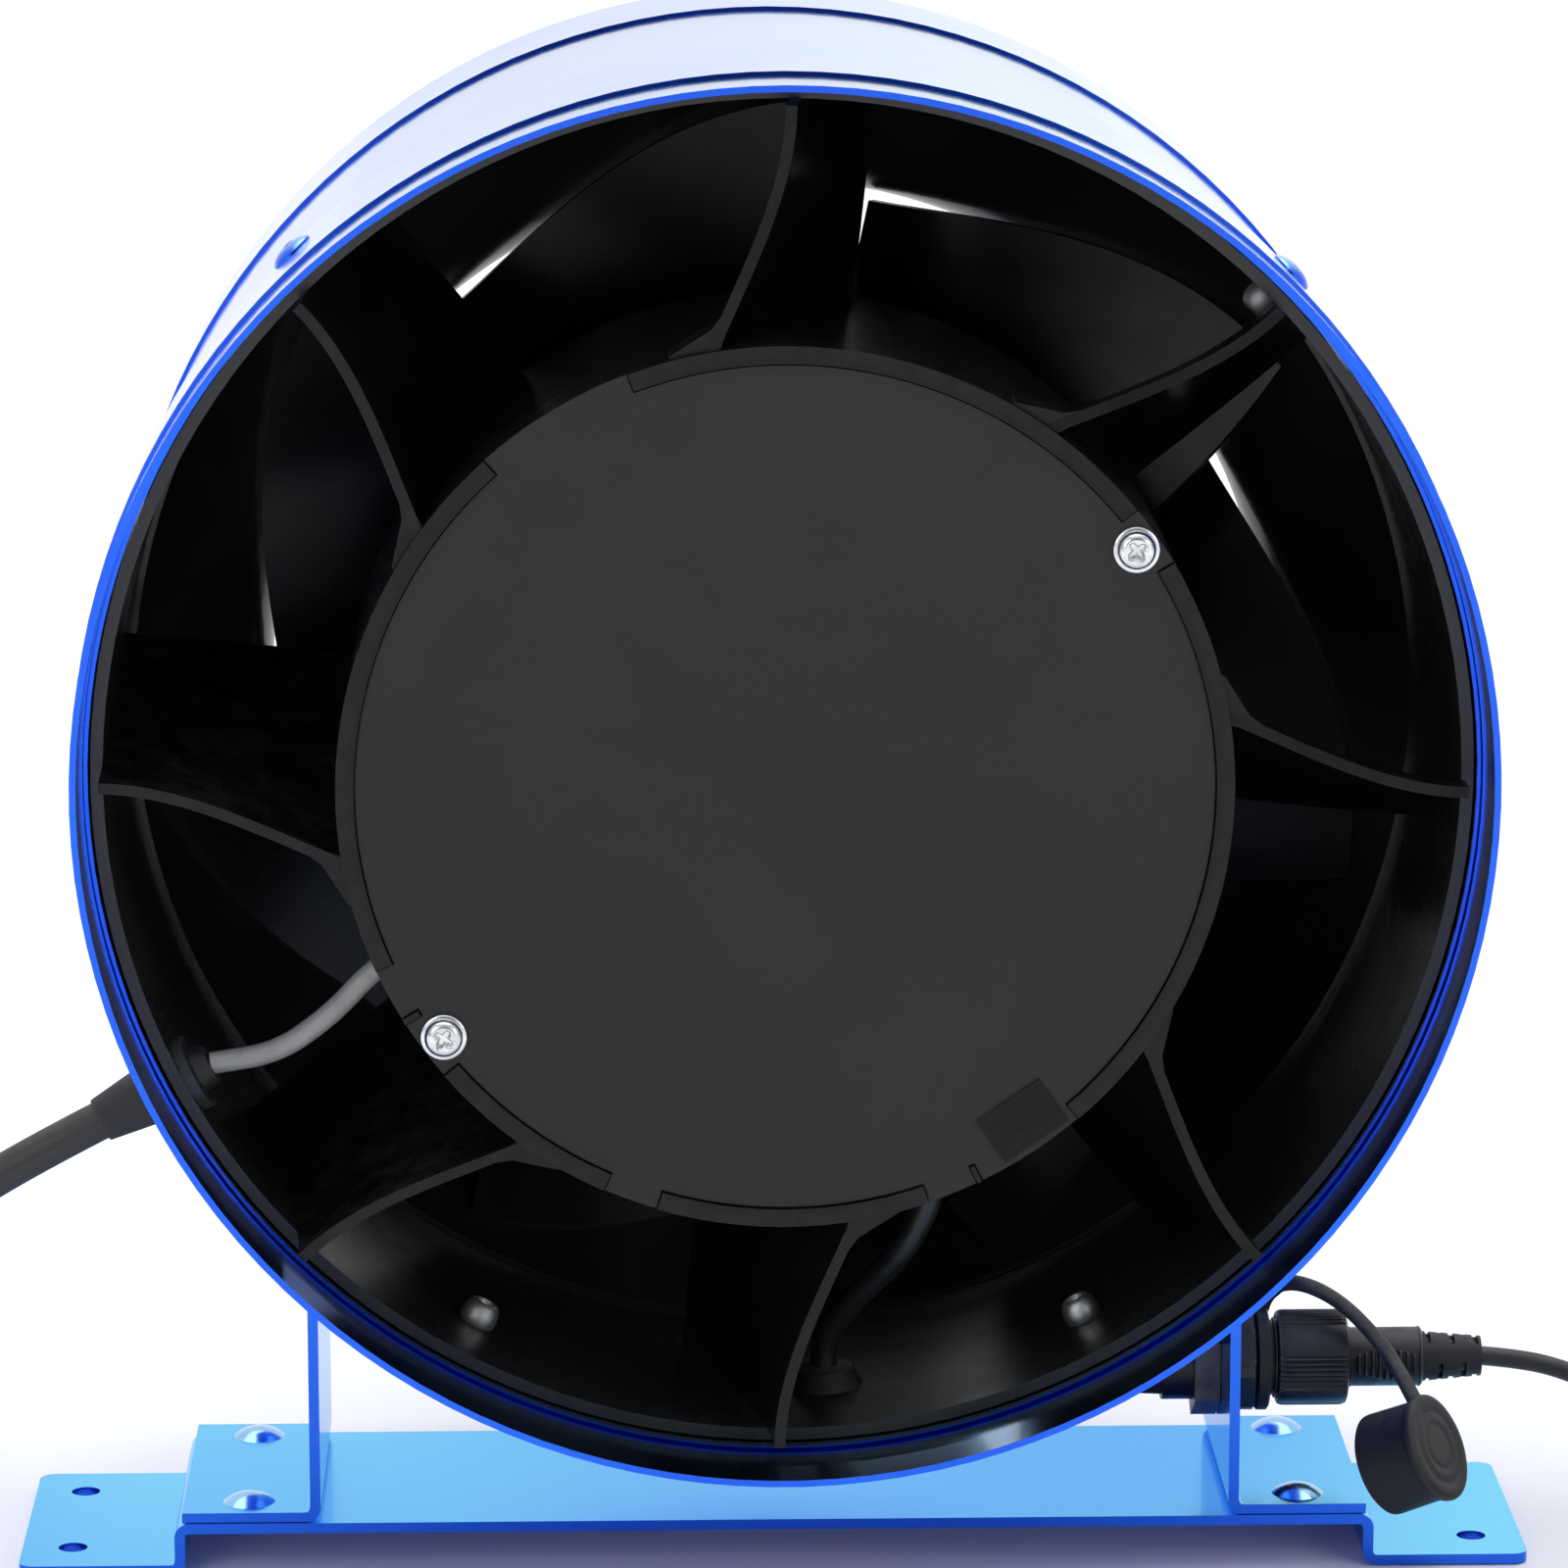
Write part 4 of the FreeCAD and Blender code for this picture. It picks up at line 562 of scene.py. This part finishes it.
def make_collar_rivets():
    """Pop rivets: painted domed heads outside the collar, bare hollow tails inside the liner."""
    tail = [(-0.1, 2.6), (0, 3.1), (0.5, 3.4), (1.8, 3.5), (3.1, 3.25), (4, 2.75), (4.4, 2.4),
            (4.6, 2.0), (4.5, 1.65), (3.6, 1.45), (3.3, 1.2), (3.5, 0.2)]
    head = [(-0.1, 4.1), (0, 4.2), (0.25, 4.2), (0.6, 3.9), (1.1, 3.1), (1.45, 2.1), (1.55, 1.5),
            (1.3, 1.3), (1.35, 0.2)]
    middle = Vector((0, OUTLET_Y + COLLAR_RIVETS["depth"], DUCT_Z))
    tails, heads = [], []
    for angle in COLLAR_RIVETS["angles"]:
        outward = Vector((cos(radians(angle)), 0, sin(radians(angle))))
        tail_foot = middle + outward * COLLAR_RIVETS["inside"]
        head_foot = middle + outward * COLLAR_RIVETS["outside"]
        tails.append(turned(axes_at(tail_foot, -outward, up=(0, 1, 0)), tail, 48))
        heads.append(turned(axes_at(head_foot, outward, up=(0, 1, 0)), head, 48))
    points, faces = joined(*tails)
    piece("collar_rivet_tails", points, faces, "cast_aluminium", "casing", ("collar_rivets",))
    points, faces = joined(*heads)
    piece("collar_rivet_heads", points, faces, "blue_casing", "casing")


def make_panel_socket():
    """Socket with a six-sided flange in front of the leg and a thread for the coupling nut."""
    place = axes_at(SOCKET_AT, (1, 0, 0))

    def shape(along, angle, radius):
        if LEG_X + 1 < along < LEG_X + 4.9 and radius > 9:
            side = (angle + pi / 6) % (pi / 3) - pi / 6
            return min(radius, 9.4 / cos(side))
        return radius

    thread = []
    for ridge in range(11):
        start = LEG_X + 5.6 + ridge * 1.02
        thread += [(start, 7.2), (start + 0.3, 7.85), (start + 0.55, 7.85), (start + 0.85, 7.2)]
    profile = [(LEG_X - 13, 8), (LEG_X + 1, 8), (LEG_X + 1.01, 9.8), (LEG_X + 1.5, 10.2),
               (LEG_X + 2.5, 10.2), (LEG_X + 3.6, 10.2), (LEG_X + 4.6, 10.2), (LEG_X + 4.89, 9.8),
               (LEG_X + 5, 7.6), (LEG_X + 5.2, 7.2), *thread, (LEG_X + 16.9, 7.2),
               (LEG_X + 17, 6.4), (LEG_X + 10, 6.35)]
    points, faces = turned(place, profile, 192, shape)
    piece("socket_with_thread", points, faces, "black_nylon", "casing", ("panel_socket",), sharp=30)


def make_coupling_nut():
    """Nut with bands of fine grip ribs between smooth flats."""
    place = axes_at(SOCKET_AT, (1, 0, 0))

    def shape(along, angle, radius):
        if radius < 8.7 or not LEG_X + 10 < along < LEG_X + 22.4:
            return radius
        band = cos(4 * angle - 0.5)
        rib = 0.22 * (1 + cos(56 * angle))
        return radius - 0.45 + (rib if band > -0.1 else 0.18)

    profile = [(LEG_X + 9.6, 8.0), (LEG_X + 9.5, 8.6), (LEG_X + 9.7, 9.0), (LEG_X + 10.3, 9.3),
               (LEG_X + 10.8, 9.35), (LEG_X + 12, 9.35), (LEG_X + 16, 9.35), (LEG_X + 20, 9.35),
               (LEG_X + 21.8, 9.35), (LEG_X + 22.3, 9.3), (LEG_X + 22.9, 9.0), (LEG_X + 23.2, 8.4),
               (LEG_X + 23.2, 6.4), (LEG_X + 22.9, 6.05), (LEG_X + 18.6, 6.05), (LEG_X + 18.6, 8.0)]
    points, faces = turned(place, profile, 448, shape, closed=True)
    piece("ribbed_coupling_nut", points, faces, "black_nylon", "coupling_nut", ("coupling_nut",),
          sharp=40)


def make_signal_plug():
    """Cable plug with a shallow arrow of grip bars on two sides."""
    place = axes_at(SOCKET_AT, (1, 0, 0))
    first, last = LEG_X + 24, LEG_X + 37.4
    bar_spacing = 1.35

    def shape(along, angle, radius):
        if not first < along < last or radius < 5:
            return radius
        side = abs(angle % pi - pi / 2)
        reach = 0.62 * (1 - abs((along - (first + last) / 2) / (last - first) * 1.2))
        bar = 0.5 + 0.5 * cos(2 * pi * (along - first) / bar_spacing)
        return radius - 0.35 + (0.5 * bar if side < reach else 0.2)

    profile = [(LEG_X + 11, 5.5), (LEG_X + 17.3, 5.6), (LEG_X + 18.5, 5.9), (LEG_X + 23.3, 5.9)]
    profile += [(first + (last - first) * step / 80, 5.9) for step in range(81)]
    profile += [(LEG_X + 37.7, 5.8), (LEG_X + 38, 5.4)]
    points, faces = turned(place, profile, 160, shape)
    piece("cable_plug_body", points, faces, "black_nylon", "casing", ("signal_plug",), sharp=38)


def relief_shape(length, rings, first, last, depth):
    """A tapered strain relief's radius, with rings of openings that alternate from side to side."""
    def shape(along, angle, radius):
        part = along / length
        if not 0.02 < part < 0.98:
            return radius
        taper = first + (last - first) * part
        ring = part * rings
        across = abs((ring % 1) - 0.5)
        turn = angle + (pi / 4 if int(ring) % 2 else 0)
        open_side = cos(4 * turn) if rings < 5 else cos(2 * turn)
        return taper - (depth if across < 0.2 and open_side > 0.15 else 0)
    return shape


def tapered_relief(name, place, length, rings, first, last, depth, finish, body, replaced):
    steps = rings * 20
    profile = [(0, last * 0.7), (0.01, first)]
    profile += [(length * step / steps, first + (last - first) * step / steps)
                for step in range(1, steps)]
    profile += [(length - 0.01, last), (length, last * 0.7)]
    points, faces = turned(place, profile, 96, relief_shape(length, rings, first, last, depth))
    piece(name, points, faces, finish, body, replaced, sharp=40)


def make_reliefs():
    tapered_relief("plug_strain_relief", axes_at((LEG_X + 38, SOCKET_Y, SOCKET_Z), (1, 0, 0)),
                   11.6, 5, 4.9, 3.9, 1.3, "black_rubber", "casing", ("plug_relief",))


def swept_band(line, half_width, half_thickness, facing):
    """Points and faces of a flat band that follows a line, with its flat side facing a way."""
    section = [(half_width * cos(turn) * (1 if abs(cos(turn)) > 0.8 else 0.93),
                half_thickness * sin(turn)) for turn in (2 * pi * step / 16 for step in range(16))]
    points, faces = [], []
    for index, here in enumerate(line):
        ahead = line[min(index + 1, len(line) - 1)] - line[max(index - 1, 0)]
        ahead.normalize()
        flat = (Vector(facing) - ahead * ahead.dot(Vector(facing))).normalized()
        side = ahead.cross(flat)
        points += [here + side * across + flat * out for across, out in section]
    rows = len(line)
    for row in range(rows - 1):
        for step in range(16):
            following = (step + 1) % 16
            faces.append((row * 16 + step, row * 16 + following, (row + 1) * 16 + following,
                          (row + 1) * 16 + step))
    faces.append(tuple(reversed(range(16))))
    faces.append(tuple(range((rows - 1) * 16, rows * 16)))
    return points, faces


def make_dust_cap():
    """Rubber cap: a cup under a ringed disc, on a flat strap from a loop on the socket."""
    facing = Vector((0.78, -0.45, 0.42)).normalized()
    middle = Vector((122, -7, 21))
    place = axes_at(middle - facing * 6.5, facing)
    cup = [(0, 8.2), (0, 9.4), (0.4, 9.9), (1, 10), (10.8, 9.8), (11.2, 10.0), (11.6, 10.4),
           (12.4, 10.55), (12.9, 10.4), (13.2, 9.9), (13.3, 9.2), (13.3, 8.2), (13.1, 7.6),
           (13.05, 7.0), (13.2, 6.5), (13.3, 6.1), (13.3, 5.2), (13.1, 4.7), (13.05, 4.2),
           (13.25, 3.7), (13.3, 3.2), (13.3, 1.2), (13.3, 0.2)]
    outside = turned(place, cup, 128)
    inside = turned(place, [(0, 8.2), (10.2, 8.2), (10.5, 7.6), (10.5, 0.3)], 96)
    outside = (outside[0], outside[1][:-2] + outside[1][-1:])
    inside = (inside[0], [tuple(reversed(face)) for face in inside[1][:-2] + inside[1][-1:]])
    loop = [(0, 8.0), (2.6, 8.0), (2.6, 9.7), (2.2, 10.2), (0.4, 10.2), (0, 9.7)]
    around_socket = turned(axes_at((LEG_X + 5.2, SOCKET_Y, SOCKET_Z), (1, 0, 0)), loop, 96,
                           closed=True)
    guide = cord_curve("strap_guide", CAP_STRAP, 3, "black_rubber", None)
    line = spline_points(guide)
    bpy.data.objects.remove(guide)
    strap = swept_band(line, 1.9, 1.0, (0.5, -0.6, 0.65))
    points, faces = joined(outside, inside, around_socket, strap)
    piece("rubber_dust_cap", points, faces, "black_rubber", "dust_cap", ("dust_cap",), sharp=40)


# ---- mains plug and controller -----------------------------------------------------------------

def make_mains_plug():
    """Moulded plug: a waisted body with finger grooves, and a ringed sleeve on the cord."""
    place = axes_at(PLUG_AT, (1, 0, 0))

    def shape(along, angle, radius):
        part = max(0.0, min(1.0, along / 30))
        wide, high = 12.9 - 1.6 * sin(pi * part) * (1 - part), 11.9 - 2.2 * sin(pi * part)
        power = 4
        reach = (abs(cos(angle) / high) ** power + abs(sin(angle) / wide) ** power) ** (-1 / power)
        groove = 0.45 * (0.5 + 0.5 * cos(2 * pi * along / 2.6)) if 5 < along < 20 else 0
        return (reach - groove) * radius

    profile = [(0, 0.5), (0.02, 0.8), (0.5, 0.92), (1.4, 0.98)]
    profile += [(2 + 26 * step / 78, 1.0) for step in range(79)]
    profile += [(28.8, 0.99), (29.6, 0.95), (30, 0.88)]
    points, faces = turned(place, profile, 128, shape)
    piece("mains_plug_body", points, faces, "plug_plastic", "casing", ("mains_plug",), sharp=45)
    tapered_relief("mains_plug_sleeve", axes_at(PLUG_AT, (-1, 0, 0)), 22, 7, 6.6, 4.6, 1.1,
                   "plug_plastic", "casing", ("plug_sleeve",))


def make_controller_pieces():
    """The knob with its grip and pointer, tick marks round it, and the cord's strain relief."""
    place = axes_at(KNOB_AT, (0, 0, 1), up=(0, 1, 0))

    def grip(along, angle, radius):
        if 2.8 < along < 11.9 and radius > 11.5:
            return radius - 0.5 * (0.5 + 0.5 * cos(36 * angle)) ** 2
        return radius

    profile = [(-1.9, 2.9), (2.6, 2.9), (2.61, 12.4), (2.8, 12.9), (3.2, 13), (5, 12.9), (8, 12.7),
               (11, 12.4), (11.9, 12.2), (12.4, 11.9), (12.9, 11.3), (13.2, 10.4), (13.15, 9.4),
               (12.95, 8.8), (12.9, 6), (12.9, 1)]
    points, faces = turned(place, profile, 360, grip)
    piece("ribbed_speed_knob", points, faces, "controller_plastic", "speed_knob", ("speed_knob",),
          sharp=40)
    bar = [place @ Vector((x, y, z)) for z in (12.8, 13.16) for x, y in
           ((4, -0.5), (8.6, -0.5), (8.6, 0.5), (4, 0.5))]
    box_faces = [(0, 3, 2, 1), (4, 5, 6, 7), (0, 1, 5, 4), (1, 2, 6, 5), (2, 3, 7, 6), (3, 0, 4, 7)]
    piece("knob_pointer", bar, box_faces, "white_print", "speed_knob")
    ticks = []
    for number in range(11):
        turn = radians(-30 * number)
        dash = [place @ Vector((reach * cos(turn) - side * sin(turn),
                                reach * sin(turn) + side * cos(turn), height))
                for height in (1.98, 2.06)
                for reach, side in ((14.6, -0.35), (17, -0.35), (17, 0.35), (14.6, 0.35))]
        ticks.append((dash, box_faces))
    points, faces = joined(*ticks)
    piece("dial_ticks", points, faces, "white_print", "casing")
    tapered_relief("controller_strain_relief", axes_at(CONTROLLER_EXIT, (0, 1, 0)), 10, 4, 4.6,
                   3, 0.9, "black_rubber", "casing", ("controller_relief",))


# ---- the scene ---------------------------------------------------------------------------------

OWN_FINISH = {"stator_liner": "glossy_liner", "inlet_shroud": "glossy_liner",
              "base_rivets": "plated_blue"}


def finish_cad_nodes():
    for part in frame["record"]["subparts"]:
        mesh = frame["nodes"][part["node"]].data
        mesh.materials.clear()
        finish = OWN_FINISH.get(part["node"], part["material_slot"])
        mesh.materials.append(finishes[finish])


def make_floor():
    corners = [(x * FLOOR_REACH, y * FLOOR_REACH, FLOOR_Z)
               for x, y in ((-1, -1), (1, -1), (1, 1), (-1, 1))]
    piece("studio_floor", corners, [(0, 1, 2, 3)], "studio_floor", None)


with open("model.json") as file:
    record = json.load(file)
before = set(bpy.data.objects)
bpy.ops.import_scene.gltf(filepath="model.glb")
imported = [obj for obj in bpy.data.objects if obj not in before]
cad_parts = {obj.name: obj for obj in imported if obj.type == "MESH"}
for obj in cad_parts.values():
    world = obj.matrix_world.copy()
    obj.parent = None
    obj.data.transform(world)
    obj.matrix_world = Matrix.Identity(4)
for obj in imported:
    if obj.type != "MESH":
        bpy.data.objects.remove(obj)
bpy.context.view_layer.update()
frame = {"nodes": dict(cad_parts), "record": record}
make_camera()
finishes = make_finishes()
mains_cord, controller_cord = make_cords()
finish_cad_nodes()
make_floor()
make_studio()
make_cover_screws()
make_collar_rivets()
make_panel_socket()
make_coupling_nut()
make_signal_plug()
make_reliefs()
make_dust_cap()
make_mains_plug()
make_controller_pieces()
